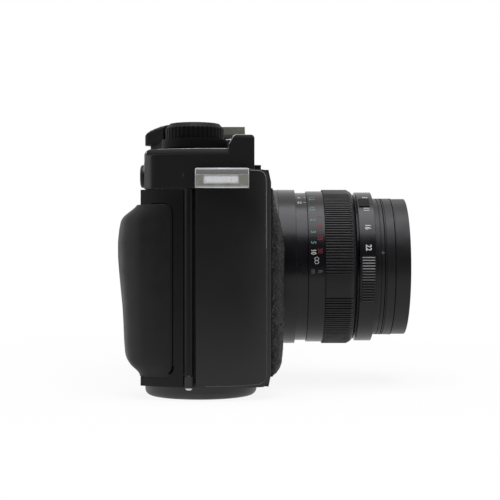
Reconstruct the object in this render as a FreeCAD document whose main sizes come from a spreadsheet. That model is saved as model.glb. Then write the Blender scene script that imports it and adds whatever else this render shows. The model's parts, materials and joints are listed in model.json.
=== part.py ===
import FreeCAD, Part
import math
import os
from types import SimpleNamespace

import Sketcher

# A medium format film camera with a coupled rangefinder and an 80 mm lens,
# and a mask in its film gate for panoramic pictures.
# Millimetres. +Z is up and the lens points along -Y. The origin is the mouth of the
# tripod socket, on the plane that the camera rests on, below the lens axis.
# -X is the side of the photographer's right hand.

DRIVING_SIZES = {
    # Clearances and walls
    "slack": 0.3,
    "running_gap": 0.05,
    "cover_wall": 1.6,
    "front_plate": 1.4,
    "door_wall": 2.0,
    "chamber_wall": 2.1,
    "throat_wall": 3.25,
    "throat_plate": 3.8,
    # The film gate, from the picture outward
    "gate_width": 69.5,
    "gate_height": 56.0,
    "gate_rim": 1.75,
    "gate_side": 6.65,
    "rail_margin": 1.0,
    "rail_width": 2.0,
    "rail_height": 0.6,
    "mask_height": 24.0,
    "mask_side": 2.25,
    "mask_thickness": 1.6,
    "guide_radius": 1.5,
    "guide_gap": 0.9,
    "guide_proud": 0.1,
    # The film spools and their chambers
    "film_plane": 17.0,
    "chamber_y": 5.5,
    "spool_margin": 3.7,
    "spool_lift": 0.4,
    "spool_headroom": 0.8,
    "spool_clearance": 0.8,
    "spool_flange_radius": 12.6,
    "spool_flange": 0.9,
    "spool_core_radius": 6.0,
    "spool_hole_radius": 2.5,
    "spool_hole_depth": 4.0,
    # The key that drives the take-up spool
    "key_slot": 1.6,
    "key_depth": 2.6,
    "key_shaft_radius": 3.0,
    "key_gear_radius": 8.0,
    "key_gear_gap": 1.5,
    "key_gear_thickness": 3.5,
    # The spool studs in the base
    "stud_play": 0.1,
    "stud_pin_length": 3.0,
    "stud_stem_radius": 3.0,
    "stud_knob_radius": 5.7,
    "stud_knob_low": 0.4,
    "stud_knob_height": 2.0,
    # The body in plan
    "end_room": 7.8,
    "end_radius": 51.0,
    "end_middle": -3.5,
    "front_depth": 29.0,
    "split_rear": 0.9,
    "frame_step": 1.5,
    "floor_hollow_inner": 14.0,
    "floor_hollow_inset": 10.0,
    # The body's heights, from the base up
    "base_top": 5.3,
    "floor_hollow_height": 13.0,
    "chamber_floor": 2.0,
    "throat_rise": 3.9,
    "throat_drop": 5.7,
    "skirt_drop": 7.7,
    "deck_rise": 8.3,
    "platform_rise": 5.6,
    "hump_rise": 11.2,
    "shoulder_rise": 5.4,
    "ledge_rise": 4.2,
    # The base cover and the screws
    "base_end_inset": 4.6,
    "base_radius": 23.2,
    "base_rounding": 2.6,
    "base_screw_y": 16.8,
    "screw_post_radius": 2.2,
    "screw_head_radius": 1.5,
    "screw_head_depth": 0.9,
    "screw_shank_radius": 0.8,
    "screw_length": 4.2,
    "end_screw_y": 4.7,
    "end_screw_drop": 2.6,
    "ear_inset": 3.1,
    "ear_length": 3.9,
    # The tripod socket, a quarter inch thread
    "socket_flange_radius": 8.0,
    "socket_boss_radius": 6.0,
    "socket_thread_radius": 3.175,
    "socket_depth": 9.0,
    "socket_end": 2.5,
    # The top cover
    "cover_step": 1.6,
    "cover_setback": 6.7,
    "platform_depth": 10.3,
    "ramp_rise": 1.3,
    "ramp_depth": 2.4,
    "hump_right": -15.0,
    "hump_inset": 16.0,
    "hump_rounding": 3.0,
    "platform_rounding": 1.6,
    "deck_rounding": 2.8,
    "shoulder_rounding": 2.0,
    # The front cover and its ledge
    "plate_lean_depth": 1.1,
    "plate_lean_height": 5.0,
    "panel_rounding": 2.2,
    "ledge_overhang": 1.1,
    "ledge_setback": 2.4,
    # The lens, its radii
    "lens_radius": 35.0,
    "mount_step": 0.1,
    "depth_step": 1.4,
    "scale_step": 0.7,
    "neck_step": 2.2,
    "aperture_step": 1.2,
    "barrel_step": 4.0,
    "filter_step": 0.2,
    "rubber_thickness": 2.5,
    "core_step": 1.0,
    "core_wall": 3.5,
    "mount_bore_step": 0.5,
    "cell_wall": 4.0,
    "filter_wall": 1.8,
    # The lens, its lengths from the mount forward
    "mount_proud": 4.0,
    "collar_length": 7.5,
    "depth_length": 5.3,
    "scale_length": 7.3,
    "rubber_length": 12.4,
    "rubber_bevel": 0.8,
    "rubber_bevel_length": 1.4,
    "neck_length": 1.5,
    "neck_flare": 1.4,
    "neck_gap": 1.0,
    "aperture_length": 7.0,
    "barrel_length": 9.2,
    "filter_length": 6.1,
    "filter_thread_depth": 4.2,
    "core_tail": 0.8,
    "ring_gap": 0.1,
    "barrel_groove": 0.5,
    "barrel_groove_depth": 0.5,
    "barrel_groove_start": 2.1,
    "barrel_groove_spacing": 2.38,
    # The grooves of the two rings that the fingers turn
    "rubber_groove_half": 0.28,
    "rubber_groove_deep": 0.8,
    "rubber_groove_shallow": 0.45,
    "rubber_groove_count": 18,
    "rubber_group_count": 4,
    "rubber_group_angle": 148.3,
    "aperture_groove_half": 0.26,
    "aperture_groove_deep": 0.4,
    "aperture_groove_count": 17,
    "aperture_group_count": 2,
    "aperture_group_angle": 189.55,
    "groove_pitch_angle": 2.05,
    # The optical unit that moves to focus
    "cell_tail": 2.0,
    "cell_setback": 4.2,
    "stop_lip": 9.5,
    "stop_depth": 20.0,
    "stop_length": 8.0,
    "shutter_setback": 2.0,
    "iris_spacing": 3.0,
    "blade_thickness": 0.6,
    "iris_hole_radius": 8.0,
    "front_glass_inset": 1.5,
    "front_glass_edge": 3.0,
    "front_glass_bulge": 40.0,
    "rear_glass_inset": 2.5,
    "rear_glass_edge": 2.5,
    "rear_glass_bulge": 60.0,
    "retainer_lip": 2.0,
    "retainer_length": 1.2,
    # The release button beside the lens mount
    "release_across": 3.9,
    "release_up": 5.8,
    "release_radius": 4.0,
    "release_proud": 4.4,
    "release_head": 1.2,
    "release_travel": 2.0,
    # The film door
    "door_corner": 3.0,
    "hinge_inset": 1.5,
    "hinge_setback": 2.9,
    "hinge_radius": 1.8,
    "hinge_pin_radius": 0.8,
    "hinge_lug_height": 4.7,
    "hinge_merge_step": 1.0,
    "door_side_step": 2.2,
    # The thumb rest
    "thumb_setback": 5.5,
    "thumb_rise": 3.7,
    "thumb_drop": 6.0,
    "thumb_inner_inset": 39.0,
    "thumb_crest_inset": 28.0,
    "thumb_shoulder_inset": 14.0,
    "thumb_skin": 1.0,
    "thumb_crest_proud": 8.3,
    "thumb_peak_proud": 10.1,
    "thumb_heel_proud": 6.1,
    "thumb_toe_sink": 2.0,
    "thumb_heel_rise": 9.2,
    "thumb_peak_drop": 16.3,
    "thumb_heel_radius": 10.0,
    "thumb_back_radius": 200.0,
    "thumb_brow_radius": 13.0,
    "thumb_crest_radius": 26.0,
    "thumb_flank_radius": 22.0,
    # The memo holder on the door
    "memo_gap": 13.0,
    "memo_width": 68.0,
    "memo_rise": 14.4,
    "memo_drop": 6.3,
    "memo_thickness": 1.2,
    "memo_border": 4.0,
    "memo_recess": 0.6,
    "memo_corner": 3.0,
    # The pressure plate
    "film_channel": 0.3,
    "plate_side": 3.5,
    "plate_margin": 4.5,
    "plate_thickness": 1.2,
    "plate_travel": 0.8,
    "plate_spring_room": 2.2,
    "plate_spring_width": 6.0,
    "plate_spring_x": 22.0,
    "plate_spring_pad": 0.5,
    # The door latch on the photographer's left
    "latch_middle": -4.0,
    "latch_stem_half": 1.7,
    "latch_half_width": 3.8,
    "latch_thickness": 1.5,
    "latch_height": 14.0,
    "latch_drop": 2.6,
    "latch_stem_margin": 4.0,
    "latch_travel": 6.0,
    # The front grip and leatherette
    "grip_rise": 3.7,
    "grip_drop": 7.3,
    "grip_depth": 5.5,
    "grip_toe_height": 9.0,
    "grip_brow_height": 25.0,
    "grip_toe_radius": 9.5,
    "grip_brow_radius": 60.0,
    "grip_outer_inset": 9.0,
    "grip_crest_inset": 15.0,
    "grip_slope": 9.5,
    "grip_side_radius": 9.0,
    "grip_inside_radius": 16.0,
    "cladding_gap": 2.6,
    "leather_inset": 9.5,
    "leather_thickness": 0.8,
    "leather_corner": 3.0,
    # The strap lugs
    "lug_step": 0.2,
    "lug_length": 21.2,
    "lug_overhang": 3.5,
    "lug_root_inset": 5.0,
    "lug_facet_drop": 2.5,
    "lug_facet_step": 1.2,
    "lug_bar": 1.5,
    "lug_gap": 1.3,
    "lug_slot_front_margin": 4.1,
    "lug_slot_rear_margin": 3.5,
    "lug_window_rise": 1.9,
    "lug_window_drop": 0.4,
    "lug_window_depth": 0.5,
    # The lever and the dial
    "lever_inset": 18.0,
    "lever_clearance": 0.7,
    "lever_lift": 0.6,
    "lever_hub_height": 3.8,
    "lever_hub_step": 1.5,
    "lever_angle": 47.6,
    "lever_arm_length": 11.1,
    "lever_arm_height": 3.8,
    "lever_tip_radius": 4.0,
    "lever_root_half": 8.0,
    "lever_pad_gap": 0.5,
    "lever_pad_height": 4.8,
    "lever_ridge": 0.8,
    "lever_ridge_count": 3,
    "dial_shaft_radius": 4.0,
    "dial_lift": 0.2,
    "dial_radius": 12.0,
    "dial_side_height": 4.4,
    "dial_crown": 2.0,
    "dial_bevel": 1.8,
    "dial_rim": 1.8,
    "dial_dish": 0.5,
    "dial_notch_radius": 0.35,
    "dial_notch_count": 40,
    # The shutter button and the frame counter
    "button_offset": 11.5,
    "button_setback": 9.4,
    "button_radius": 3.6,
    "button_proud": 2.0,
    "button_skirt": 1.2,
    "button_travel": 1.6,
    "lock_ring": 2.6,
    "lock_height": 1.2,
    "lock_tab": 2.2,
    "lock_tab_half": 1.6,
    "lock_margin": 0.3,
    "counter_y": 9.0,
    "counter_radius": 4.2,
    # The front windows and the finder block
    "glass_thickness": 1.0,
    "window_sink": 0.2,
    "window_drop": 3.4,
    "window_margin": 4.0,
    "window_spacing": 10.0,
    "finder_width": 20.0,
    "light_width": 16.0,
    "range_margin": 4.5,
    "range_width": 8.0,
    "window_corner": 1.5,
    "block_margin": 6.0,
    "block_clearance": 0.4,
    "block_setback": 3.5,
    "block_headroom": 0.6,
    # The eyepiece
    "eye_inset": 21.0,
    "eye_rise": 4.7,
    "eye_boss_radius": 6.6,
    "eye_boss_length": 7.0,
    "eye_hole_radius": 3.2,
    "eye_ring_step": 0.8,
    "eye_ring_length": 5.5,
    "eye_seat": 1.0,
    "eye_ring_rounding": 1.3,
    # The accessory shoe
    "shoe_half_width": 10.7,
    "shoe_slot_half": 9.3,
    "shoe_opening_half": 6.25,
    "shoe_setback": 4.1,
    "shoe_length": 20.0,
    "shoe_floor": 0.8,
    "shoe_slot_height": 2.0,
    "shoe_lip": 0.8,
    # The inside of the body
    "board_gap": 3.0,
    "board_width": 21.0,
    "board_height": 44.0,
    "board_drop": 6.7,
    "board_thickness": 1.6,
    "battery_inset": 21.0,
    "battery_rise": 18.7,
    "battery_radius": 5.8,
    "battery_length": 10.8,
    "battery_cap_radius": 8.0,
    "battery_cap_proud": 1.0,
    "battery_cap_tail": 0.8,
    "coin_slot": 1.6,
    "coin_slot_depth": 0.9,
    # The shield curtain and its crank
    "curtain_radius": 3.2,
    "curtain_gap": 0.4,
    "curtain_setback": 5.0,
    "crank_x": 27.0,
    "crank_radius": 8.5,
    "crank_low": 0.4,
    "crank_thickness": 1.4,
    "crank_stem_radius": 2.5,
    "crank_stem_rise": 2.7,
    "crank_handle_half": 1.8,
    "crank_handle_depth": 0.8,
}

document = FreeCAD.newDocument("panoramic_film_camera")
sheet = document.addObject("Spreadsheet::Sheet", "sizes")
places = document.addObject("Spreadsheet::Sheet", "places")


class Size:
    """A length and the expression that works it out in the spreadsheet."""

    def __init__(self, value, formula):
        self.value = value
        self.formula = formula

    def __add__(self, other):
        return Size(self.value + number(other), f"({self.formula} + {formula(other)})")

    def __radd__(self, other):
        return Size(number(other) + self.value, f"({formula(other)} + {self.formula})")

    def __sub__(self, other):
        return Size(self.value - number(other), f"({self.formula} - {formula(other)})")

    def __rsub__(self, other):
        return Size(number(other) - self.value, f"({formula(other)} - {self.formula})")

    def __mul__(self, other):
        return Size(self.value * number(other), f"({self.formula} * {formula(other)})")

    def __rmul__(self, other):
        return Size(number(other) * self.value, f"({formula(other)} * {self.formula})")

    def __truediv__(self, other):
        return Size(self.value / number(other), f"({self.formula} / {formula(other)})")

    def __neg__(self):
        return Size(-self.value, f"(0 - {self.formula})")


def number(length):
    return length.value if isinstance(length, Size) else float(length)


def formula(length):
    return length.formula if isinstance(length, Size) else repr(float(length))


def root(area):
    return Size(math.sqrt(area.value), f"sqrt({area.formula})")


def fill_sheet():
    """Write the driving sizes and hand each back as a Size."""
    sizes = {}
    for row, (name, value) in enumerate(DRIVING_SIZES.items(), 1):
        sheet.set(f"A{row}", name)
        sheet.set(f"B{row}", str(value))
        sheet.setAlias(f"B{row}", name)
        sizes[name] = Size(value, f"sizes.{name}")
    document.recompute()
    return SimpleNamespace(**sizes)


def work_out(**lengths):
    """Give each worked-out length a cell on the second sheet, and add it to the sizes."""
    for name, length in lengths.items():
        row = len(worked_out) + 1
        places.set(f"A{row}", name)
        places.set(f"B{row}", "=" + length.formula.replace("places.", ""))
        places.setAlias(f"B{row}", name)
        worked_out.append(name)
        setattr(size, name, Size(length.value, f"places.{name}"))


def work_out_gate_and_spools():
    work_out(chamber_radius=size.spool_flange_radius + size.spool_clearance)
    work_out(chamber_x=size.gate_width / 2 + size.gate_side + size.chamber_radius)
    work_out(gate_block_half=size.gate_width / 2 + size.gate_rim)
    work_out(rail_inner=size.gate_height / 2 + size.rail_margin)
    work_out(spool_length=size.gate_height + size.spool_margin * 2)
    work_out(mask_width=size.gate_width - size.mask_side * 2)
    work_out(guide_x=size.gate_block_half + size.guide_gap + size.guide_radius)
    work_out(stud_pin_radius=size.spool_hole_radius - size.stud_play)


def work_out_heights():
    work_out(frame_floor_under=size.base_top + size.floor_hollow_height)
    work_out(spool_floor=size.frame_floor_under + size.chamber_floor)
    work_out(spool_low=size.spool_floor + size.spool_lift)
    work_out(spool_ceiling=size.spool_low + size.spool_length + size.spool_headroom)
    work_out(lens_height=(size.spool_floor + size.spool_ceiling) / 2)
    work_out(frame_top=size.spool_ceiling + size.cover_wall)
    work_out(throat_top=size.frame_top + size.throat_rise)
    work_out(side_top=size.throat_top + size.slack + size.cover_wall)
    work_out(skirt_bottom=size.side_top - size.skirt_drop)
    work_out(deck_top=size.side_top + size.deck_rise)
    work_out(platform_top=size.deck_top + size.platform_rise)
    work_out(hump_top=size.deck_top + size.hump_rise)
    work_out(shoulder_top=size.deck_top + size.shoulder_rise)
    work_out(ledge_top=size.side_top + size.ledge_rise)
    work_out(end_screw_z=size.side_top - size.end_screw_drop)
    work_out(socket_boss_top=size.socket_depth + size.socket_end)
    work_out(key_gear_low=size.frame_top + size.key_gear_gap)
    work_out(key_shaft_top=size.key_gear_low + size.key_gear_thickness)
    work_out(door_low=size.base_top + size.slack)
    work_out(door_high=size.skirt_bottom - size.slack)
    work_out(hinge_lug_top=size.base_top + size.hinge_lug_height)
    work_out(curtain_z=size.lens_height - size.gate_height / 2 + size.curtain_radius + size.curtain_gap)
    work_out(crank_stem_top=size.base_top + size.crank_stem_rise)


def work_out_depths():
    work_out(gate_block_rear=size.film_plane - size.rail_height)
    work_out(frame_rear=size.film_plane - size.guide_radius * 2)
    work_out(frame_front=size.chamber_y - size.chamber_radius - size.chamber_wall)
    work_out(guide_y=size.film_plane + size.guide_proud - size.guide_radius)
    work_out(plate_front=size.film_plane + size.film_channel)
    work_out(plate_rear=size.plate_front + size.plate_thickness)
    work_out(door_inside=size.plate_rear + size.plate_travel + size.plate_spring_room)
    work_out(door_rear=size.door_inside + size.door_wall)
    work_out(cover_rear=size.door_rear - size.cover_step)
    work_out(front_face=-size.front_depth)
    work_out(front_border=size.front_face + size.front_plate)
    work_out(cover_front=size.front_face + size.cover_setback)
    work_out(platform_rear=size.cover_front + size.platform_depth)
    work_out(ledge_front=size.front_border + size.ledge_setback)
    work_out(hinge_y=size.split_rear + size.hinge_setback)
    work_out(hinge_merge=size.hinge_y + size.hinge_merge_step)
    work_out(door_side_front=size.hinge_y + size.door_side_step)
    work_out(floor_inset=size.door_wall + size.slack)
    work_out(frame_inset=size.floor_inset + size.frame_step)
    work_out(curtain_y=size.frame_front - size.curtain_setback)


def work_out_widths():
    work_out(half_width=size.chamber_x + size.chamber_radius + size.end_room)
    work_out(base_half_length=size.half_width - size.base_end_inset)
    work_out(floor_hollow_outer=size.half_width - size.floor_hollow_inset)
    work_out(hump_left=size.half_width - size.hump_inset)
    work_out(throat_half=size.gate_width / 2 + size.throat_wall)
    work_out(hinge_x=size.hinge_inset - size.half_width)


def work_out_lens():
    work_out(mount_radius=size.lens_radius - size.mount_step)
    work_out(depth_radius=size.lens_radius - size.depth_step)
    work_out(scale_radius=size.lens_radius - size.scale_step)
    work_out(rubber_seat_radius=size.lens_radius - size.rubber_thickness)
    work_out(neck_radius=size.lens_radius - size.neck_step)
    work_out(aperture_radius=size.lens_radius - size.aperture_step)
    work_out(barrel_radius=size.lens_radius - size.barrel_step)
    work_out(filter_radius=size.barrel_radius - size.filter_step)
    work_out(filter_thread_radius=size.filter_radius - size.filter_wall)
    work_out(core_radius=size.barrel_radius - size.core_step)
    work_out(core_bore=size.core_radius - size.core_wall)
    work_out(mount_bore=size.core_radius - size.mount_bore_step)
    work_out(cell_bore=size.core_bore - size.cell_wall)
    work_out(cell_stop_radius=size.cell_bore - size.stop_lip)
    work_out(retainer_bore=size.cell_bore - size.retainer_lip)
    work_out(mount_face=size.front_face - size.mount_proud)
    work_out(collar_front=size.mount_face - size.collar_length)
    work_out(depth_front=size.collar_front - size.depth_length)
    work_out(scale_front=size.depth_front - size.scale_length)
    work_out(rubber_front=size.scale_front - size.rubber_length)
    work_out(neck_front=size.rubber_front - size.neck_length)
    work_out(aperture_rear=size.neck_front - size.neck_gap)
    work_out(aperture_front=size.aperture_rear - size.aperture_length)
    work_out(barrel_front=size.aperture_front - size.barrel_length)
    work_out(filter_front=size.barrel_front - size.filter_length)
    work_out(core_rear=size.front_border + size.core_tail)
    work_out(cell_rear=size.mount_face + size.cell_tail)
    work_out(cell_front=size.barrel_front + size.cell_setback)
    work_out(cell_stop_front=size.cell_front + size.stop_depth)
    work_out(cell_stop_rear=size.cell_stop_front + size.stop_length)
    work_out(shutter_slot=size.cell_stop_rear - size.shutter_setback)
    work_out(iris_slot=size.shutter_slot - size.iris_spacing)
    work_out(front_glass_seat=size.cell_front + size.front_glass_inset + size.front_glass_edge)
    work_out(rear_glass_seat=size.cell_rear - size.rear_glass_inset - size.rear_glass_edge)


def work_out_front():
    work_out(release_x=size.mount_radius - size.release_across)
    work_out(release_z=size.lens_height - size.mount_radius + size.release_up)
    work_out(release_front=size.front_face - size.release_proud)
    work_out(throat_bottom=size.lens_height - size.mount_radius - size.throat_drop)
    work_out(ledge_half_width=size.mount_radius + size.ledge_overhang)
    work_out(cladding_inner=size.mount_radius + size.cladding_gap)
    work_out(grip_low=size.base_top + size.grip_rise)
    work_out(grip_high=size.side_top - size.grip_drop)
    work_out(grip_bulge=size.front_face - size.grip_depth)
    work_out(grip_toe=size.grip_low + size.grip_toe_height)
    work_out(grip_shoulder=size.grip_high - size.grip_brow_height)
    work_out(grip_outer_x=size.grip_outer_inset - size.half_width)
    work_out(grip_crest_out=size.grip_crest_inset - size.half_width)
    work_out(grip_crest_in=-size.cladding_inner - size.grip_slope)
    work_out(leather_outer_x=size.half_width - size.leather_inset)
    work_out(board_right=size.throat_half + size.board_gap)
    work_out(board_high=size.side_top - size.cover_wall - size.board_drop)
    work_out(cell_case_x=size.half_width - size.battery_inset)
    work_out(cell_case_z=size.base_top + size.battery_rise)
    work_out(battery_cap_front=size.front_face - size.leather_thickness - size.battery_cap_proud)
    work_out(battery_cap_rear=size.front_border + size.battery_cap_tail)


def work_out_door():
    work_out(thumb_front=size.door_side_front + size.thumb_setback)
    work_out(thumb_low=size.door_low + size.thumb_rise)
    work_out(thumb_high=size.door_high - size.thumb_drop)
    work_out(thumb_inner=size.thumb_inner_inset - size.half_width)
    work_out(thumb_crest_x=size.thumb_crest_inset - size.half_width)
    work_out(thumb_shoulder_x=size.thumb_shoulder_inset - size.half_width)
    work_out(thumb_crest=size.door_rear + size.thumb_crest_proud)
    work_out(thumb_peak=size.door_rear + size.thumb_peak_proud)
    work_out(thumb_heel=size.door_rear + size.thumb_heel_proud)
    work_out(thumb_toe_depth=size.door_rear - size.thumb_toe_sink)
    work_out(thumb_heel_low=size.thumb_low + size.thumb_heel_rise)
    work_out(thumb_peak_height=size.thumb_high - size.thumb_peak_drop)
    work_out(memo_right=size.thumb_inner + size.memo_gap)
    work_out(memo_left=size.memo_right + size.memo_width)
    work_out(memo_low=size.door_low + size.memo_rise)
    work_out(memo_high=size.door_high - size.memo_drop)
    work_out(plate_half_width=size.gate_block_half + size.plate_side)
    work_out(plate_half_height=size.gate_height / 2 + size.plate_margin)
    work_out(latch_low=size.lens_height - size.latch_drop)
    work_out(latch_high=size.latch_low + size.latch_height)
    work_out(latch_stem_low=size.latch_low + size.latch_stem_margin)
    work_out(latch_stem_high=size.latch_high - size.latch_stem_margin)


def work_out_lugs():
    work_out(lug_rear=size.split_rear + size.lug_step)
    work_out(lug_front=size.lug_rear - size.lug_length)
    work_out(lug_reach=size.half_width + size.lug_overhang)
    work_out(lug_root=size.half_width - size.lug_root_inset)
    work_out(lug_facet_low=size.side_top - size.lug_facet_drop)
    work_out(lug_facet_in=size.lug_reach - size.lug_facet_step)
    work_out(lug_slot_front=size.lug_front + size.lug_slot_front_margin)
    work_out(lug_slot_rear=size.lug_rear - size.lug_slot_rear_margin)
    work_out(lug_window_low=size.skirt_bottom + size.lug_window_rise)
    work_out(lug_window_high=size.lug_facet_low - size.lug_window_drop)


def work_out_controls():
    work_out(lever_hub_radius=size.dial_radius + size.lever_hub_step)
    work_out(lever_x=size.lever_inset - size.half_width)
    work_out(lever_y=size.platform_rear + size.lever_clearance + size.lever_hub_radius)
    work_out(lever_low=size.deck_top + size.lever_lift)
    work_out(lever_hub_top=size.lever_low + size.lever_hub_height)
    work_out(lever_arm_top=size.lever_low + size.lever_arm_height)
    work_out(lever_pad_top=size.lever_arm_top + size.lever_pad_height)
    work_out(lever_reach=size.lever_hub_radius + size.lever_arm_length)
    work_out(lever_pad_start=size.lever_hub_radius + size.lever_pad_gap)
    work_out(dial_low=size.lever_hub_top + size.dial_lift)
    work_out(dial_shoulder=size.dial_low + size.dial_side_height)
    work_out(dial_top=size.dial_shoulder + size.dial_crown)
    work_out(dial_top_radius=size.dial_radius - size.dial_bevel)
    work_out(dial_flat_radius=size.dial_top_radius - size.dial_rim)
    work_out(button_x=size.hump_right - size.button_offset)
    work_out(button_y=size.cover_front + size.button_setback)
    work_out(button_top=size.platform_top + size.button_proud)
    work_out(lock_radius=size.button_radius + size.lock_ring)
    work_out(lock_top=size.platform_top + size.lock_height)
    work_out(lock_tab_reach=size.lock_radius + size.lock_tab)
    work_out(platform_inner=size.button_x - size.lock_radius - size.lock_margin)


def work_out_finder():
    work_out(window_low=size.deck_top - size.window_sink)
    work_out(window_high=size.hump_top - size.window_drop)
    work_out(finder_left=size.hump_left - size.window_margin)
    work_out(finder_right=size.finder_left - size.finder_width)
    work_out(light_left=size.finder_right - size.window_spacing)
    work_out(light_right=size.light_left - size.light_width)
    work_out(range_right=size.hump_right + size.range_margin)
    work_out(range_left=size.range_right + size.range_width)
    work_out(block_right=size.finder_right - size.block_margin)
    work_out(block_left=size.hump_left - size.cover_wall - size.block_clearance)
    work_out(block_front=size.cover_front + size.block_setback)
    work_out(block_rear=size.cover_rear - size.block_setback)
    work_out(block_top=size.hump_top - size.cover_wall - size.block_headroom)
    work_out(eye_x=size.half_width - size.eye_inset)
    work_out(eye_z=size.side_top + size.eye_rise)
    work_out(eye_boss_rear=size.cover_rear + size.eye_boss_length)
    work_out(eye_ring_rear=size.eye_boss_rear + size.eye_ring_length)
    work_out(eye_ring_radius=size.eye_boss_radius - size.eye_ring_step)
    work_out(eye_ring_bore=size.eye_hole_radius + size.eye_seat)
    work_out(shoe_front=size.cover_front + size.shoe_setback)
    work_out(shoe_rear=size.shoe_front + size.shoe_length)


size = fill_sheet()
worked_out = []
work_out_gate_and_spools()
work_out_heights()
work_out_depths()
work_out_widths()
work_out_lens()
work_out_front()
work_out_door()
work_out_lugs()
work_out_controls()
work_out_finder()
document.recompute()
nodes = []
RIGHT = -1
LEFT = 1
NEAR = 0.001
FULL_TURN = 360
PLANES = {"top": "XY_Plane", "front": "XZ_Plane", "side": "YZ_Plane"}


# Helpers for sketches and features

def keep(piece, label):
    """Name a finished sub-part and put it on the list of files."""
    piece.Label = label
    nodes.append(piece)
    return piece


def new_body(name):
    body = document.addObject("PartDesign::Body", name)
    document.recompute()
    return body


def new_sketch(body, name, plane, offset):
    sketch = body.newObject("Sketcher::SketchObject", name)
    role = PLANES[plane]
    origin_plane = next(feature for feature in body.Origin.OriginFeatures if feature.Role == role)
    sketch.AttachmentSupport = [(origin_plane, "")]
    sketch.MapMode = "FlatFace"
    sketch.setExpression("AttachmentOffset.Base.z", formula(offset))
    return sketch


def bind(sketch, kind, target, length):
    """Add one dimension to a sketch and tie it to the spreadsheet."""
    value = number(length)
    text = formula(length)
    if kind == "Radius":
        value = abs(value)
        text = f"abs({text})"
    index = sketch.addConstraint(Sketcher.Constraint(kind, *target, value))
    sketch.setExpression(f"Constraints[{index}]", text)


def arc_between(start, end, radius):
    """Arc whose centre is left of its direction, or right of it if the radius is negative."""
    chord = end - start
    rise = math.sqrt(max(radius * radius - (chord.Length / 2) ** 2, 0))
    left = FreeCAD.Vector(-chord.y, chord.x, 0).normalize()
    turn = 1 if radius > 0 else -1
    centre = (start + end) * 0.5 + left * rise * turn
    first = math.atan2(start.y - centre.y, start.x - centre.x)
    last = math.atan2(end.y - centre.y, end.x - centre.x)
    if turn < 0:
        first, last = last, first
    circle = Part.Circle(centre, FreeCAD.Vector(0, 0, 1), abs(radius))
    return Part.ArcOfCircle(circle, first, last)


def draw_outline(sketch, corners):
    """Closed outline. A corner is (across, up) or (across, up, radius of the arc that follows)."""
    first = len(sketch.Geometry)
    count = len(corners)
    points = [FreeCAD.Vector(number(corner[0]), number(corner[1]), 0) for corner in corners]
    ends = []
    for index, corner in enumerate(corners):
        following = points[(index + 1) % count]
        if len(corner) == 3:
            radius = number(corner[2])
            sketch.addGeometry(arc_between(points[index], following, radius), False)
            ends.append((1, 2) if radius > 0 else (2, 1))
        else:
            sketch.addGeometry(Part.LineSegment(points[index], following), False)
            ends.append((1, 2))
    for index in range(count):
        after = (index + 1) % count
        join = (first + index, ends[index][1], first + after, ends[after][0])
        sketch.addConstraint(Sketcher.Constraint("Coincident", *join))
    for index, corner in enumerate(corners):
        place = (first + index, ends[index][0])
        bind(sketch, "DistanceX", place, corner[0])
        bind(sketch, "DistanceY", place, corner[1])
        if len(corner) == 3:
            bind(sketch, "Radius", (first + index,), corner[2])


def draw_circle(sketch, across, up, radius):
    index = len(sketch.Geometry)
    centre = FreeCAD.Vector(number(across), number(up), 0)
    sketch.addGeometry(Part.Circle(centre, FreeCAD.Vector(0, 0, 1), number(radius)), False)
    centre_index = 3
    bind(sketch, "DistanceX", (index, centre_index), across)
    bind(sketch, "DistanceY", (index, centre_index), up)
    bind(sketch, "Radius", (index,), radius)


def draw(sketch, shapes):
    for shape in shapes:
        if isinstance(shape, tuple):
            draw_circle(sketch, *shape)
        else:
            draw_outline(sketch, shape)


def extruded(body, name, kind, plane, span, shapes):
    """Pad or pocket between two heights along the plane's axis."""
    low, high = span
    offset = -high if plane == "front" else low
    sketch = new_sketch(body, name + "_sketch", plane, offset)
    draw(sketch, shapes)
    feature = body.newObject(kind, name)
    feature.Profile = sketch
    feature.setExpression("Length", formula(high - low))
    if kind == "PartDesign::Pocket":
        feature.Reversed = True
    body.Tip = feature
    return feature


def pad(body, name, plane, span, *shapes):
    return extruded(body, name, "PartDesign::Pad", plane, span, shapes)


def pocket(body, name, plane, span, *shapes):
    """Cut, and stop if nothing was cut away."""
    document.recompute()
    before = body.Shape.Volume
    feature = extruded(body, name, "PartDesign::Pocket", plane, span, shapes)
    document.recompute()
    if body.Shape.Volume >= before - NEAR:
        raise RuntimeError(f"{name} cuts nothing")
    return feature


def turned(name, axis, outline):
    """Body of revolution. The outline is (along the axis, radius) corners."""
    body = new_body(name)
    plane = {"x": "front", "y": "side", "z": "front"}[axis]
    sketch = new_sketch(body, name + "_sketch", plane, 0)
    if axis == "z":
        outline = [(corner[1], corner[0], *corner[2:]) for corner in outline]
    draw_outline(sketch, outline)
    feature = body.newObject("PartDesign::Revolution", name + "_turn")
    feature.Profile = sketch
    feature.ReferenceAxis = (sketch, ["V_Axis" if axis == "z" else "H_Axis"])
    feature.Angle = 360
    body.Tip = feature
    return body


def repeat_round(body, feature, *rounds):
    """Repeat a cut round the axis of its sketch. A round is a count and the angle it spans."""
    steps = []
    for index, (count, angle) in enumerate(rounds):
        step = body.newObject("PartDesign::PolarPattern", f"{feature.Name}_round_{index}")
        step.Axis = (feature.Profile[0], ["N_Axis"])
        step.Angle = angle
        step.Occurrences = int(number(count))
        steps.append(step)
    repeated = body.newObject("PartDesign::MultiTransform", feature.Name + "_repeated")
    repeated.Originals = [feature]
    repeated.Transformations = steps
    body.Tip = repeated
    document.recompute()


def place(piece, x=0, y=0, z=0):
    for axis, length in (("x", x), ("y", y), ("z", z)):
        piece.setExpression(f"Placement.Base.{axis}", formula(length))
    return piece


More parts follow.
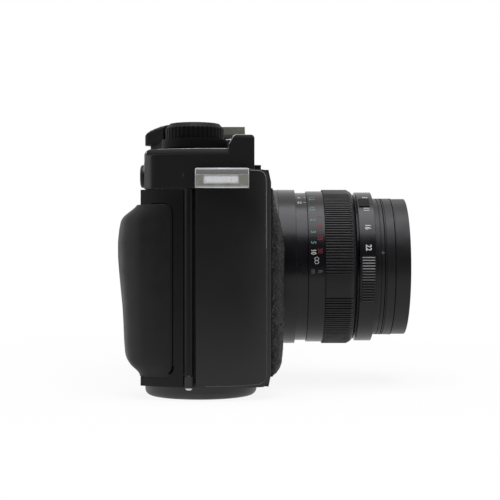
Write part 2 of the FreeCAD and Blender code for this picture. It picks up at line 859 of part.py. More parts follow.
def edges_in_plane(shape, axis, level):
    """Edges that lie wholly in one plane across an axis."""
    names = []
    for index, edge in enumerate(shape.Edges, 1):
        box = edge.BoundBox
        low = getattr(box, axis + "Min")
        high = getattr(box, axis + "Max")
        if abs(low - number(level)) < NEAR and abs(high - number(level)) < NEAR:
            names.append(f"Edge{index}")
    return names


def round_level(body, name, level, inner_planes, radius):
    """Fillet the outer edges of a level face, and leave those that meet a wall."""
    names = set(edges_in_plane(body.Shape, "Z", level))
    for axis, place_of_wall in inner_planes:
        names -= set(edges_in_plane(body.Shape, axis, place_of_wall))
    rounded(body, name, sorted(names), radius)


def upright_edges(shape, x, y):
    """Edges that stand upright at one place in plan."""
    names = []
    for index, edge in enumerate(shape.Edges, 1):
        box = edge.BoundBox
        thin = box.XLength < NEAR and box.YLength < NEAR
        if thin and abs(box.XMin - number(x)) < NEAR and abs(box.YMin - number(y)) < NEAR:
            names.append(f"Edge{index}")
    return names


def rounded(body, name, names, radius):
    """Fillet on chosen edges of the body's last feature."""
    base = body.Tip
    feature = body.newObject("PartDesign::Fillet", name)
    feature.Base = (base, names)
    feature.setExpression("Radius", formula(radius))
    body.Tip = feature
    document.recompute()
    return feature


def block(name, x, y, z):
    """Box between two corners."""
    box = document.addObject("Part::Box", name)
    for side, span in (("Length", x), ("Width", y), ("Height", z)):
        box.setExpression(side, formula(span[1] - span[0]))
    return place(box, x[0], y[0], z[0])


def rod(name, axis, centre, radius, span):
    """Cylinder along one axis, with its centre given in the other two."""
    cylinder = document.addObject("Part::Cylinder", name)
    cylinder.setExpression("Radius", formula(radius))
    cylinder.setExpression("Height", formula(span[1] - span[0]))
    if axis == "x":
        cylinder.Placement.Rotation = FreeCAD.Rotation(FreeCAD.Vector(0, 1, 0), 90)
        return place(cylinder, span[0], centre[0], centre[1])
    if axis == "y":
        cylinder.Placement.Rotation = FreeCAD.Rotation(FreeCAD.Vector(1, 0, 0), -90)
        return place(cylinder, centre[0], span[0], centre[1])
    return place(cylinder, centre[0], centre[1], span[0])


def fused(name, *pieces):
    joined = document.addObject("Part::MultiFuse", name)
    joined.Shapes = list(pieces)
    return joined


def cut(name, base, *tools):
    tool = tools[0] if len(tools) == 1 else fused(name + "_tools", *tools)
    result = document.addObject("Part::Cut", name)
    result.Base = base
    result.Tool = tool
    return result


def common(name, *pieces):
    result = document.addObject("Part::MultiCommon", name)
    result.Shapes = list(pieces)
    return result


# Outlines that several sub-parts share

def end_x(depth, inset=0):
    """Half width of the body at a depth, out to its rounded end."""
    radius = size.end_radius - inset
    offset = depth - size.end_middle
    return size.half_width - size.end_radius + root(radius * radius - offset * offset)


def plan(front, rear, inset=0):
    """Plan of the body between two depths, both ends rounded."""
    radius = size.end_radius - inset
    return [
        (-end_x(front, inset), front),
        (end_x(front, inset), front, radius),
        (end_x(rear, inset), rear),
        (-end_x(rear, inset), rear, radius),
    ]


def half_plan(side, inner, front, rear, inset=0):
    """Plan of one end, from a straight inner edge out to the rounded end."""
    radius = size.end_radius - inset
    return [
        (side * inner, front),
        (side * end_x(front, inset), front, side * radius),
        (side * end_x(rear, inset), rear),
        (side * inner, rear),
    ]


def end_wall(side, front, rear, inset, thickness):
    """Curved strip that follows the end of the body."""
    inner = inset + thickness
    return [
        (side * end_x(front, inset), front, side * (size.end_radius - inset)),
        (side * end_x(rear, inset), rear),
        (side * end_x(rear, inner), rear, -side * (size.end_radius - inner)),
        (side * end_x(front, inner), front),
    ]


def rectangle(left, right, low, high):
    return [(left, low), (right, low), (right, high), (left, high)]


def rounded_rectangle(left, right, low, high, corner):
    return [
        (left + corner, low),
        (right - corner, low, corner),
        (right, low + corner),
        (right, high - corner, corner),
        (right - corner, high),
        (left + corner, high, corner),
        (left, high - corner),
        (left, low + corner, corner),
    ]


def stadium(half_length, radius):
    """Long plan with half-round ends."""
    straight = half_length - radius
    return [
        (-straight, -radius),
        (straight, -radius, radius),
        (half_length, 0, radius),
        (straight, radius),
        (-straight, radius, radius),
        (-half_length, 0, radius),
    ]


def lens_ring(name, outline):
    """Ring on the lens axis. The outline is (depth, radius) corners."""
    return keep(place(turned(name + "_body", "y", outline), z=size.lens_height), name)


def tube(rear, front, outer, inner):
    """Outline of a plain ring, from its rear face to its front face."""
    return [(front, inner), (rear, inner), (rear, outer), (front, outer)]


# Screws and base

def screw(name, axis, centre, outside, inward):
    """Countersunk screw whose head is flush with the outside, pointing inward."""
    if inward > 0:
        head = (outside, outside + size.screw_head_depth)
        shank = (outside, outside + size.screw_length)
    else:
        head = (outside - size.screw_head_depth, outside)
        shank = (outside - size.screw_length, outside)
    return [
        rod(name + "_head", axis, centre, size.screw_head_radius, head),
        rod(name + "_shank", axis, centre, size.screw_shank_radius, shank),
    ]


def make_screws():
    """Screws of the base, in front of and behind its middle, and of the top cover's ends."""
    across = size.base_half_length - size.base_radius
    front = []
    rear = []
    for side, title in ((RIGHT, "right"), (LEFT, "left")):
        front += screw(f"front_screw_{title}", "z", (side * across, -size.base_screw_y), size.slack, 1)
        rear += screw(f"rear_screw_{title}", "z", (side * across, size.base_screw_y), size.slack, 1)
    ends = []
    for side, title in ((RIGHT, "right"), (LEFT, "left")):
        centre = (size.end_screw_y, size.end_screw_z)
        outside = side * (end_x(size.end_screw_y) - size.slack)
        ends += screw(f"end_screw_{title}", "x", centre, outside, -side)
    keep(fused("screws", *front, *rear, *ends), "cover_screws")
    return SimpleNamespace(front=front, rear=rear, ends=ends)


def add_screw_posts(body, name, y):
    """Two posts that reach down into the base cover and hold its screws."""
    across = size.base_half_length - size.base_radius
    posts = [(side * across, y, size.screw_post_radius) for side in (RIGHT, LEFT)]
    pad(body, name, "top", (size.cover_wall, size.base_top), *posts)


def make_base(screws):
    body = new_body("base_plate")
    pad(body, "base_tray", "top", (0, size.base_top), stadium(size.base_half_length, size.base_radius))
    document.recompute()
    rounded(body, "base_edge", edges_in_plane(body.Shape, "Z", 0), size.base_rounding)
    inner = stadium(size.base_half_length - size.cover_wall, size.base_radius - size.cover_wall)
    pocket(body, "base_hollow", "top", (size.cover_wall, size.base_top), inner)
    stud_hole = size.stud_knob_radius + size.slack
    holes = [
        (0, 0, size.socket_flange_radius),
        (size.chamber_x, size.chamber_y, stud_hole),
        (-size.chamber_x, size.chamber_y, stud_hole),
        (size.crank_x, 0, size.crank_radius + size.slack),
    ]
    pocket(body, "base_holes", "top", (0, size.cover_wall), *holes)
    keep(cut("base_finished", body, *screws.front, *screws.rear), "bottom_cover")


def make_tripod_socket():
    outline = [
        (0, size.socket_thread_radius),
        (0, size.socket_flange_radius),
        (size.base_top, size.socket_flange_radius),
        (size.base_top, size.socket_boss_radius),
        (size.socket_boss_top, size.socket_boss_radius),
        (size.socket_boss_top, 0),
        (size.socket_depth, 0),
        (size.socket_depth, size.socket_thread_radius),
    ]
    keep(turned("socket", "z", outline), "tripod_socket")


# Chassis

def chamber_plan(side):
    """Round-fronted film chamber that is open to the rear."""
    radius = size.chamber_radius
    past_rear = size.film_plane + radius
    right = side * size.chamber_x - radius
    left = side * size.chamber_x + radius
    return [
        (right, size.chamber_y, radius),
        (side * size.chamber_x, size.chamber_y - radius, radius),
        (left, size.chamber_y),
        (left, past_rear),
        (right, past_rear),
    ]


def make_frame(screws):
    body = new_body("chassis")
    bar = plan(size.frame_front, size.frame_rear, size.frame_inset)
    pad(body, "chassis_bar", "top", (size.base_top, size.frame_top), bar)
    floor = plan(size.frame_front, size.door_inside - size.slack, size.floor_inset)
    pad(body, "chassis_floor", "top", (size.base_top, size.base_top + size.cover_wall), floor)
    add_screw_posts(body, "chassis_posts", size.base_screw_y)
    ears = []
    for side in (RIGHT, LEFT):
        far = side * (size.half_width - size.ear_inset)
        near = side * (size.half_width - size.ear_inset - size.ear_length)
        low, high = (far, near) if side < 0 else (near, far)
        front = size.end_screw_y - size.screw_post_radius
        ears.append(rectangle(low, high, front, size.end_screw_y + size.screw_post_radius))
    ear_top = size.end_screw_z + size.screw_post_radius
    pad(body, "chassis_ears", "top", (size.frame_top, ear_top), *ears)
    throat = rectangle(-size.throat_half, size.throat_half, size.throat_bottom, size.throat_top)
    throat_span = (size.front_border, size.frame_front)
    pad(body, "chassis_throat", "front", throat_span, throat)
    gate_block = rectangle(-size.gate_block_half, size.gate_block_half, size.spool_floor, size.frame_top)
    pad(body, "gate_block", "front", (size.frame_rear, size.gate_block_rear), gate_block)
    rails = []
    for side in (RIGHT, LEFT):
        inner = size.lens_height + side * size.rail_inner
        outer = inner + side * size.rail_width
        low, high = (outer, inner) if side < 0 else (inner, outer)
        rails.append(rectangle(-size.gate_block_half, size.gate_block_half, low, high))
    pad(body, "film_rails", "front", (size.gate_block_rear, size.film_plane), *rails)
    gate = rectangle(
        -size.gate_width / 2,
        size.gate_width / 2,
        size.lens_height - size.gate_height / 2,
        size.lens_height + size.gate_height / 2,
    )
    throat_back = size.front_border + size.throat_plate
    pocket(body, "film_gate", "front", (throat_back, size.film_plane), gate)
    throat_hole = (0, size.lens_height, size.core_radius)
    pocket(body, "lens_hole", "front", (size.front_border, throat_back), throat_hole)
    chamber_span = (size.spool_floor, size.spool_ceiling)
    pocket(body, "chambers", "top", chamber_span, chamber_plan(RIGHT), chamber_plan(LEFT))
    hollow_front = size.frame_front + size.cover_wall
    hollow_rear = size.frame_rear - size.cover_wall
    hollows = []
    for side in (RIGHT, LEFT):
        inner = side * size.floor_hollow_inner
        outer = side * size.floor_hollow_outer
        low, high = (outer, inner) if side < 0 else (inner, outer)
        hollows.append(rectangle(low, high, hollow_front, hollow_rear))
    pocket(body, "floor_hollows", "top", (size.base_top, size.frame_floor_under), *hollows)
    recess_radius = size.release_radius + size.release_head + size.slack
    recess = (size.release_x, size.release_z, recess_radius)
    recess_rear = size.front_border + size.release_head + size.release_travel + size.slack
    pocket(body, "release_recess", "front", (size.front_border, recess_rear), recess)
    boss_hole = (0, 0, size.socket_boss_radius)
    pocket(body, "socket_hole", "top", (size.base_top, size.socket_boss_top), boss_hole)
    stud_hole = size.stud_stem_radius + size.running_gap
    stud_holes = [(side * size.chamber_x, size.chamber_y, stud_hole) for side in (RIGHT, LEFT)]
    pocket(body, "stud_holes", "top", (size.frame_floor_under, size.spool_floor), *stud_holes)
    key_hole = (-size.chamber_x, size.chamber_y, size.key_shaft_radius + size.running_gap)
    pocket(body, "key_hole", "top", (size.spool_ceiling, size.frame_top), key_hole)
    lug_span = (size.base_top, size.hinge_lug_top)
    hinge = (size.hinge_x, size.hinge_y)
    barrel = rod("hinge_lug_barrel", "z", hinge, size.hinge_radius, lug_span)
    web_x = (size.hinge_x, size.hinge_x + size.frame_inset)
    web = block("hinge_lug_web", web_x, (size.hinge_y - size.hinge_radius, size.hinge_y), lug_span)
    pin_hole = rod("hinge_lug_bore", "z", hinge, size.hinge_pin_radius, lug_span)
    whole = fused("frame_with_lug", body, barrel, web)
    keep(cut("frame_finished", whole, pin_hole, *screws.rear, *screws.ends), "body_frame")


# Outer covers

def make_end_cover(side, name):
    body = new_body(name + "_shell")
    wall = end_wall(side, size.front_border, size.split_rear, 0, size.cover_wall)
    pad(body, name + "_wall", "top", (size.base_top, size.side_top), wall)
    document.recompute()
    front_edges = set(edges_in_plane(body.Shape, "Y", size.front_border))
    corners = front_edges & set(edges_in_plane(body.Shape, "Z", size.side_top))
    corners |= front_edges & set(edges_in_plane(body.Shape, "Z", size.base_top))
    rounded(body, name + "_corners", sorted(corners), size.panel_rounding)
    if side == LEFT:
        slot = rectangle(
            size.latch_middle - size.latch_stem_half - size.slack,
            size.latch_middle + size.latch_stem_half + size.slack,
            size.latch_stem_low - size.latch_travel - size.slack,
            size.latch_stem_high + size.slack,
        )
        span = (size.half_width - size.frame_inset, size.half_width)
        pocket(body, name + "_slot", "side", span, slot)
    keep(body, name)


def make_front_cover(screws):
    body = new_body("front_shell")
    face = plan(size.front_face, size.front_border)
    pad(body, "front_plate", "top", (size.base_top, size.side_top), face)
    deck = plan(size.front_border, size.cover_front, size.cover_wall)
    pad(body, "front_deck", "top", (size.side_top - size.cover_wall, size.side_top), deck)
    floor = plan(size.front_border, size.frame_front, size.cover_wall)
    pad(body, "front_floor", "top", (size.base_top, size.base_top + size.cover_wall), floor)
    lean_back = size.front_face + size.plate_lean_depth
    upper_lean = [
        (size.front_face, size.side_top - size.plate_lean_height),
        (lean_back, size.side_top),
        (size.front_face, size.side_top),
    ]
    lower_lean = [
        (size.front_face, size.base_top),
        (lean_back, size.base_top),
        (size.front_face, size.base_top + size.plate_lean_height),
    ]
    across = (-size.half_width, size.half_width)
    pocket(body, "front_upper_lean", "side", across, upper_lean)
    pocket(body, "front_lower_lean", "side", across, lower_lean)
    add_screw_posts(body, "front_posts", -size.base_screw_y)
    ledge = rectangle(-size.ledge_half_width, size.ledge_half_width, size.ledge_front, size.cover_front)
    pad(body, "front_ledge", "top", (size.side_top, size.ledge_top), ledge)
    holes = [
        (0, size.lens_height, size.mount_radius),
        (size.release_x, size.release_z, size.release_radius + size.running_gap),
        (size.cell_case_x, size.cell_case_z, size.battery_cap_radius + size.running_gap),
    ]
    pocket(body, "front_holes", "front", (size.front_face, size.front_border), *holes)
    keep(cut("front_finished", body, *screws.front), "front_cover")


def make_top_cover(screws):
    body = new_body("top_shell")
    front = size.cover_front
    rear = size.cover_rear
    wall = size.cover_wall
    pad(body, "top_skirt", "top", (size.skirt_bottom, size.side_top), plan(size.split_rear, rear))
    pad(body, "top_deck", "top", (size.side_top, size.deck_top), plan(front, rear))
    platform = [
        (-end_x(front), front),
        (size.hump_right, front),
        (size.hump_right, rear),
        (size.platform_inner, rear),
        (size.platform_inner, size.platform_rear),
        (-end_x(size.platform_rear), size.platform_rear, size.end_radius),
    ]
    pad(body, "top_platform", "top", (size.deck_top, size.platform_top), platform)
    ramp = [
        (size.platform_rear, size.deck_top + size.ramp_rise),
        (size.platform_rear, size.platform_top),
        (size.platform_rear - size.ramp_depth, size.platform_top),
    ]
    pocket(body, "platform_ramp", "side", (-size.half_width, size.platform_inner), ramp)
    hump = rectangle(size.hump_right, size.hump_left, front, rear)
    pad(body, "top_hump", "top", (size.deck_top, size.hump_top), hump)
    shoulder = half_plan(LEFT, size.hump_left, front, rear)
    pad(body, "top_shoulder", "top", (size.deck_top, size.shoulder_top), shoulder)
    document.recompute()
    hump_edges = edges_in_plane(body.Shape, "Z", size.hump_top)
    rounded(body, "hump_edges", hump_edges, size.hump_rounding)
    inside = [("X", size.hump_right), ("X", size.platform_inner), ("Y", size.platform_rear)]
    round_level(body, "platform_edges", size.platform_top, [inside[0]], size.platform_rounding)
    round_level(body, "deck_edges", size.deck_top, inside[1:], size.deck_rounding)
    round_level(body, "shoulder_edges", size.shoulder_top, [("X", size.hump_left)], size.shoulder_rounding)
    boss = (size.eye_x, size.eye_z, size.eye_boss_radius)
    pad(body, "eye_boss", "front", (rear, size.eye_boss_rear), boss)
    skirt_hollow = plan(size.split_rear, rear - wall, wall)
    pocket(body, "skirt_hollow", "top", (size.skirt_bottom, size.side_top), skirt_hollow)
    deck_hollow = plan(front + wall, rear - wall, wall)
    pocket(body, "deck_hollow", "top", (size.side_top, size.deck_top - wall), deck_hollow)
    hump_hollow = rectangle(size.hump_right + wall, size.hump_left - wall, front + wall, rear - wall)
    hump_span = (size.deck_top - wall, size.hump_top - wall)
    pocket(body, "hump_hollow", "top", hump_span, hump_hollow)
    inner_block = rectangle(size.platform_inner + wall, size.hump_right + wall, front + wall, rear - wall)
    inner_span = (size.deck_top - wall, size.platform_top - wall)
    pocket(body, "platform_hollow", "top", inner_span, inner_block)
    top_holes = [
        (size.button_x, size.button_y, size.button_radius + size.running_gap),
        (size.button_x, size.counter_y, size.counter_radius),
    ]
    pocket(body, "platform_holes", "top", (size.platform_top - wall, size.platform_top), *top_holes)
    shaft_hole = (size.lever_x, size.lever_y, size.dial_shaft_radius + size.running_gap)
    pocket(body, "shaft_hole", "top", (size.deck_top - wall, size.deck_top), shaft_hole)
    windows = [
        window_outline(size.finder_right, size.finder_left),
        window_outline(size.light_right, size.light_left),
        window_outline(size.range_right, size.range_left),
    ]
    pocket(body, "front_windows", "front", (front, front + wall), *windows)
    eye_hole = (size.eye_x, size.eye_z, size.eye_hole_radius)
    pocket(body, "eye_hole", "front", (rear - wall, size.eye_boss_rear), eye_hole)
    keep(cut("top_finished", body, *screws.ends), "top_cover")


def window_outline(right, left):
    return rounded_rectangle(right, left, size.window_low, size.window_high, size.window_corner)


def make_windows():
    """Glass of the three front windows and of the frame counter."""
    front = size.cover_front
    spans = (
        ("viewfinder_window", size.finder_right, size.finder_left),
        ("illumination_window", size.light_right, size.light_left),
        ("rangefinder_window", size.range_right, size.range_left),
    )
    for name, right, left in spans:
        body = new_body(name + "_glass")
        glass = (front + size.slack, front + size.slack + size.glass_thickness)
        pad(body, name + "_pad", "front", glass, window_outline(right, left))
        keep(body, name)
    top = size.platform_top - size.slack
    counter = (top - size.glass_thickness, top)
    centre = (size.button_x, size.counter_y)
    keep(rod("counter_glass", "z", centre, size.counter_radius, counter), "frame_counter_window")


def make_eyepiece():
    ring = turned("eye_ring", "y", [
        (size.eye_boss_rear, size.eye_hole_radius),
        (size.eye_boss_rear, size.eye_ring_radius),
        (size.eye_ring_rear - size.eye_ring_rounding, size.eye_ring_radius, -size.eye_ring_rounding),
        (size.eye_ring_rear, size.eye_ring_radius - size.eye_ring_rounding),
        (size.eye_ring_rear, size.eye_ring_bore),
        (size.eye_boss_rear + size.eye_seat, size.eye_ring_bore),
        (size.eye_boss_rear + size.eye_seat, size.eye_hole_radius),
    ])
    keep(place(ring, x=size.eye_x, z=size.eye_z), "eyepiece")
    glass_low = size.eye_boss_rear + size.eye_seat
    glass = (glass_low, glass_low + size.glass_thickness)
    disc = rod("eye_disc", "y", (size.eye_x, size.eye_z), size.eye_ring_bore, glass)
    keep(disc, "eyepiece_glass")


def make_viewfinder_block():
    x = (size.block_right, size.block_left)
    y = (size.block_front, size.block_rear)
    keep(block("finder_block", x, y, (size.throat_top, size.block_top)), "viewfinder_block")


def make_hot_shoe():
    """Channel whose lips hold the foot of a flash."""
    base = size.hump_top
    floor = base + size.shoe_floor
    slot_top = floor + size.shoe_slot_height
    lip_top = slot_top + size.shoe_lip
    outline = [
        (-size.shoe_half_width, base),
        (size.shoe_half_width, base),
        (size.shoe_half_width, lip_top),
        (size.shoe_opening_half, lip_top),
        (size.shoe_opening_half, slot_top),
        (size.shoe_slot_half, slot_top),
        (size.shoe_slot_half, floor),
        (-size.shoe_slot_half, floor),
        (-size.shoe_slot_half, slot_top),
        (-size.shoe_opening_half, slot_top),
        (-size.shoe_opening_half, lip_top),
        (-size.shoe_half_width, lip_top),
    ]
    body = new_body("shoe")
    pad(body, "shoe_channel", "front", (size.shoe_front, size.shoe_rear), outline)
    keep(body, "hot_shoe")


def make_strap_lug(side, name):
    """Bracket that follows the end of the body, with a bar for the strap."""
    body = new_body(name + "_body")
    edge = size.slack * 2
    outline = [
        (side * size.lug_root, size.skirt_bottom),
        (side * (size.lug_reach - edge), size.skirt_bottom),
        (side * size.lug_reach, size.skirt_bottom + edge),
        (side * size.lug_reach, size.lug_facet_low),
        (side * size.lug_facet_in, size.side_top),
        (side * size.lug_root, size.side_top),
    ]
    pad(body, name + "_bracket", "front", (size.lug_front, size.lug_rear), outline)
    gap_out = side * (size.lug_reach - size.lug_bar)
    gap_in = side * (size.lug_reach - size.lug_bar - size.lug_gap)
    low_x, high_x = (gap_out, gap_in) if side < 0 else (gap_in, gap_out)
    slot = rectangle(low_x, high_x, size.lug_slot_front, size.lug_slot_rear)
    pocket(body, name + "_slot", "top", (size.skirt_bottom, size.side_top), slot)
    face = side * size.lug_reach
    floor = side * (size.lug_reach - size.lug_window_depth)
    window_span = (face, floor) if side < 0 else (floor, face)
    window = rectangle(size.lug_slot_front, size.lug_slot_rear, size.lug_window_low, size.lug_window_high)
    pocket(body, name + "_window", "side", window_span, window)
    end_centre = (side * (size.half_width - size.end_radius), size.end_middle)
    end_core = rod(name + "_seat", "z", end_centre, size.end_radius, (size.skirt_bottom, size.side_top))
    keep(cut(name + "_cut", body, end_core), name)


def make_front_grip():
    """Raised grip under the right hand: a side profile met by a plan."""
    back = size.front_face
    side_view = new_body("grip_side_view")
    profile = [
        (back, size.grip_high, size.grip_brow_radius),
        (size.grip_bulge + size.slack, size.grip_shoulder),
        (size.grip_bulge, size.grip_toe, size.grip_toe_radius),
        (back, size.grip_low),
    ]
    pad(side_view, "grip_side_pad", "side", (size.grip_outer_x, -size.cladding_inner), profile)
    plan_view = new_body("grip_plan_view")
    outline = [
        (-size.cladding_inner, back),
        (size.grip_outer_x, back, size.grip_side_radius),
        (size.grip_crest_out, size.grip_bulge),
        (size.grip_crest_in, size.grip_bulge, size.grip_inside_radius),
    ]
    pad(plan_view, "grip_plan_pad", "top", (size.grip_low, size.grip_high), outline)
    keep(common("grip", side_view, plan_view), "front_grip")


def make_front_leatherette():
    body = new_body("leather_panel")
    outline = rounded_rectangle(
        size.cladding_inner,
        size.leather_outer_x,
        size.grip_low,
        size.grip_high,
        size.leather_corner,
    )
    span = (size.front_face - size.leather_thickness, size.front_face)
    pad(body, "leather_sheet", "front", span, outline)
    cap_hole = (size.cell_case_x, size.cell_case_z, size.battery_cap_radius + size.running_gap)
    pocket(body, "leather_hole", "front", span, cap_hole)
    keep(body, "front_leatherette")


# Door and what rides on it

def thumb_seat():
    """Space on the door's outer surface that the thumb rest fills."""
    body = new_body("thumb_seat")
    inset = size.thumb_skin
    face = size.door_rear - inset
    outside = -size.half_width - size.door_rear
    beyond = size.door_rear + size.half_width
    outline = [
        (-end_x(size.thumb_front, inset), size.thumb_front),
        (outside, size.thumb_front),
        (outside, beyond),
        (size.thumb_inner, beyond),
        (size.thumb_inner, face),
        (-end_x(face, inset), face, size.end_radius - inset),
    ]
    pad(body, "thumb_seat_pad", "top", (size.thumb_low, size.thumb_high), outline)
    return body


def make_door(seat):
    body = new_body("door_shell")
    radius = size.end_radius
    inner = size.door_wall
    inner_face = size.door_inside
    outline = [
        (-end_x(size.hinge_merge), size.hinge_merge, -radius),
        (-end_x(size.door_rear), size.door_rear),
        (end_x(size.door_rear), size.door_rear, -radius),
        (end_x(size.door_side_front), size.door_side_front),
        (end_x(size.door_side_front, inner), size.door_side_front, radius - inner),
        (end_x(inner_face, inner), inner_face),
        (-end_x(inner_face, inner), inner_face, radius - inner),
        (-end_x(size.hinge_merge, inner), size.hinge_merge),
    ]
    pad(body, "door_panel", "top", (size.door_low, size.door_high), outline)
    document.recompute()
    corners = upright_edges(body.Shape, end_x(size.door_rear), size.door_rear)
    rounded(body, "door_corners", corners, size.door_corner)
    hinge = (size.hinge_x, size.hinge_y)
    barrel_span = (size.hinge_lug_top + size.slack, size.door_high)
    barrel = rod("door_barrel", "z", hinge, size.hinge_radius, barrel_span)
    bore = rod("door_bore", "z", hinge, size.hinge_pin_radius + size.running_gap, barrel_span)
    lug_space = block(
        "door_lug_space",
        (size.hinge_x - size.hinge_radius * 2, size.hinge_x + size.hinge_radius * 2),
        (size.hinge_y - size.hinge_radius * 2, size.door_side_front),
        (size.door_low, size.hinge_lug_top + size.slack),
    )
    whole = fused("door_with_barrel", body, barrel)
    keep(cut("door_finished", whole, bore, lug_space, seat), "back_door")
    pin_span = (size.base_top, size.door_high)
    keep(rod("pin", "z", hinge, size.hinge_pin_radius, pin_span), "hinge_pin")


def make_thumb_rest(seat):
    side_view = new_body("thumb_side_view")
    profile = [
        (size.thumb_front, size.thumb_low),
        (size.thumb_toe_depth, size.thumb_low, size.thumb_heel_radius),
        (size.thumb_heel, size.thumb_heel_low, size.thumb_back_radius),
        (size.thumb_peak, size.thumb_peak_height, size.thumb_brow_radius),
        (size.door_rear, size.thumb_high),
        (size.thumb_front, size.thumb_high),
    ]
    pad(side_view, "thumb_side_pad", "side", (-size.half_width, size.thumb_inner), profile)
    plan_view = new_body("thumb_plan_view")
    flank = size.thumb_toe_depth
    outline = [
        (size.thumb_inner, size.thumb_front),
        (size.thumb_inner, size.door_rear),
        (size.thumb_crest_x, size.thumb_crest, size.thumb_crest_radius),
        (size.thumb_shoulder_x, size.thumb_crest, size.thumb_flank_radius),
        (-end_x(flank), flank, size.end_radius),
        (-end_x(size.thumb_front), size.thumb_front),
    ]
    pad(plan_view, "thumb_plan_pad", "top", (size.thumb_low, size.thumb_high), outline)
    keep(common("thumb_shape", seat, side_view, plan_view), "thumb_rest")


def make_memo_holder():
    body = new_body("memo_frame")
    rear = size.door_rear
    face = rear + size.memo_thickness
    outer = rounded_rectangle(
        size.memo_right, size.memo_left, size.memo_low, size.memo_high, size.memo_corner
    )
    pad(body, "memo_plate", "front", (rear, face), outer)
    border = size.memo_border
    inner = rectangle(
        size.memo_right + border,
        size.memo_left - border,
        size.memo_low + border,
        size.memo_high - border,
    )
    pocket(body, "memo_window", "front", (face - size.memo_recess, face), inner)
    keep(body, "memo_holder")


def make_pressure_plate():
    """Plate that holds the film flat, and the two leaf springs behind it."""
    rear = size.plate_rear
    height = (size.lens_height - size.plate_half_height, size.lens_height + size.plate_half_height)
    width = (-size.plate_half_width, size.plate_half_width)
    keep(block("plate", width, (size.plate_front, rear), height), "pressure_plate")
    leaf_front = rear + size.plate_travel
    springs = []
    for side, title in ((RIGHT, "right"), (LEFT, "left")):
        low = side * size.plate_spring_x - size.plate_spring_width / 2
        leaf_x = (low, low + size.plate_spring_width)
        leaf_y = (leaf_front, leaf_front + size.plate_spring_pad)
        springs.append(block(f"spring_leaf_{title}", leaf_x, leaf_y, height))
        foot_low = size.lens_height - size.plate_spring_width / 2
        foot_z = (foot_low, foot_low + size.plate_spring_width)
        springs.append(block(f"spring_foot_{title}", leaf_x, (leaf_front, size.door_inside), foot_z))
    keep(fused("springs", *springs), "pressure_springs")


def make_door_latch():
    """Sliding catch: thumb plate outside, stem through the end cover."""
    outside = size.half_width + size.running_gap
    half = size.latch_half_width
    middle = size.latch_middle
    plate = block(
        "latch_plate",
        (outside, outside + size.latch_thickness),
        (middle - half, middle + half),
        (size.latch_low, size.latch_high),
    )
    stem_half = size.latch_stem_half
    inside = size.half_width - size.cover_wall - size.slack
    stem = block(
        "latch_stem",
        (inside, outside),
        (middle - stem_half, middle + stem_half),
        (size.latch_stem_low, size.latch_stem_high),
    )
    keep(fused("latch", plate, stem), "door_latch")


# Film spools and studs

def make_spool(side, name, key_up):
    low = size.spool_low
    high = low + size.spool_length
    flange = size.spool_flange
    outline = [
        (low, size.spool_hole_radius),
        (low, size.spool_flange_radius),
        (low + flange, size.spool_flange_radius),
        (low + flange, size.spool_core_radius),
        (high - flange, size.spool_core_radius),
        (high - flange, size.spool_flange_radius),
        (high, size.spool_flange_radius),
        (high, size.spool_hole_radius),
        (high - size.spool_hole_depth, size.spool_hole_radius),
        (high - size.spool_hole_depth, 0),
        (low + size.spool_hole_depth, 0),
        (low + size.spool_hole_depth, size.spool_hole_radius),
    ]
    body = turned(name + "_body", "z", outline)
    if key_up:
        half = size.key_slot / 2 + size.slack
        across = size.spool_core_radius - size.slack
        slot = rectangle(-across, across, -half, half)
        pocket(body, name + "_slot", "top", (high - size.key_depth, high), slot)
    keep(place(body, x=side * size.chamber_x, y=size.chamber_y), name)


def make_take_up_key():
    """Blade that drives the spool, its shaft and its gear."""
    axis = (-size.chamber_x, size.chamber_y)
    spool_top = size.spool_low + size.spool_length
    blade_low = spool_top - size.key_depth + size.slack
    blade_half = size.spool_core_radius - size.slack * 2
    blade = block(
        "key_blade",
        (axis[0] - blade_half, axis[0] + blade_half),
        (axis[1] - size.key_slot / 2, axis[1] + size.key_slot / 2),
        (blade_low, spool_top + size.slack),
    )
    shaft_span = (spool_top + size.slack, size.key_shaft_top)
    shaft = rod("key_shaft", "z", axis, size.key_shaft_radius, shaft_span)
    gear = rod("key_gear", "z", axis, size.key_gear_radius, (size.key_gear_low, size.key_shaft_top))
    keep(fused("key", blade, shaft, gear), "take_up_key")


def make_stud(side, name):
    """Pin that holds the foot of a spool, with its pull knob in the base."""
    knob_top = size.stud_knob_low + size.stud_knob_height
    pin_top = size.spool_floor + size.stud_pin_length
    outline = [
        (size.stud_knob_low, 0),
        (size.stud_knob_low, size.stud_knob_radius),
        (knob_top, size.stud_knob_radius),
        (knob_top, size.stud_stem_radius),
        (size.spool_floor, size.stud_stem_radius),
        (size.spool_floor, size.stud_pin_radius),
        (pin_top, size.stud_pin_radius),
        (pin_top, 0),
    ]
    stud = turned(name + "_body", "z", outline)
    keep(place(stud, x=side * size.chamber_x, y=size.chamber_y), name)


# Controls on top

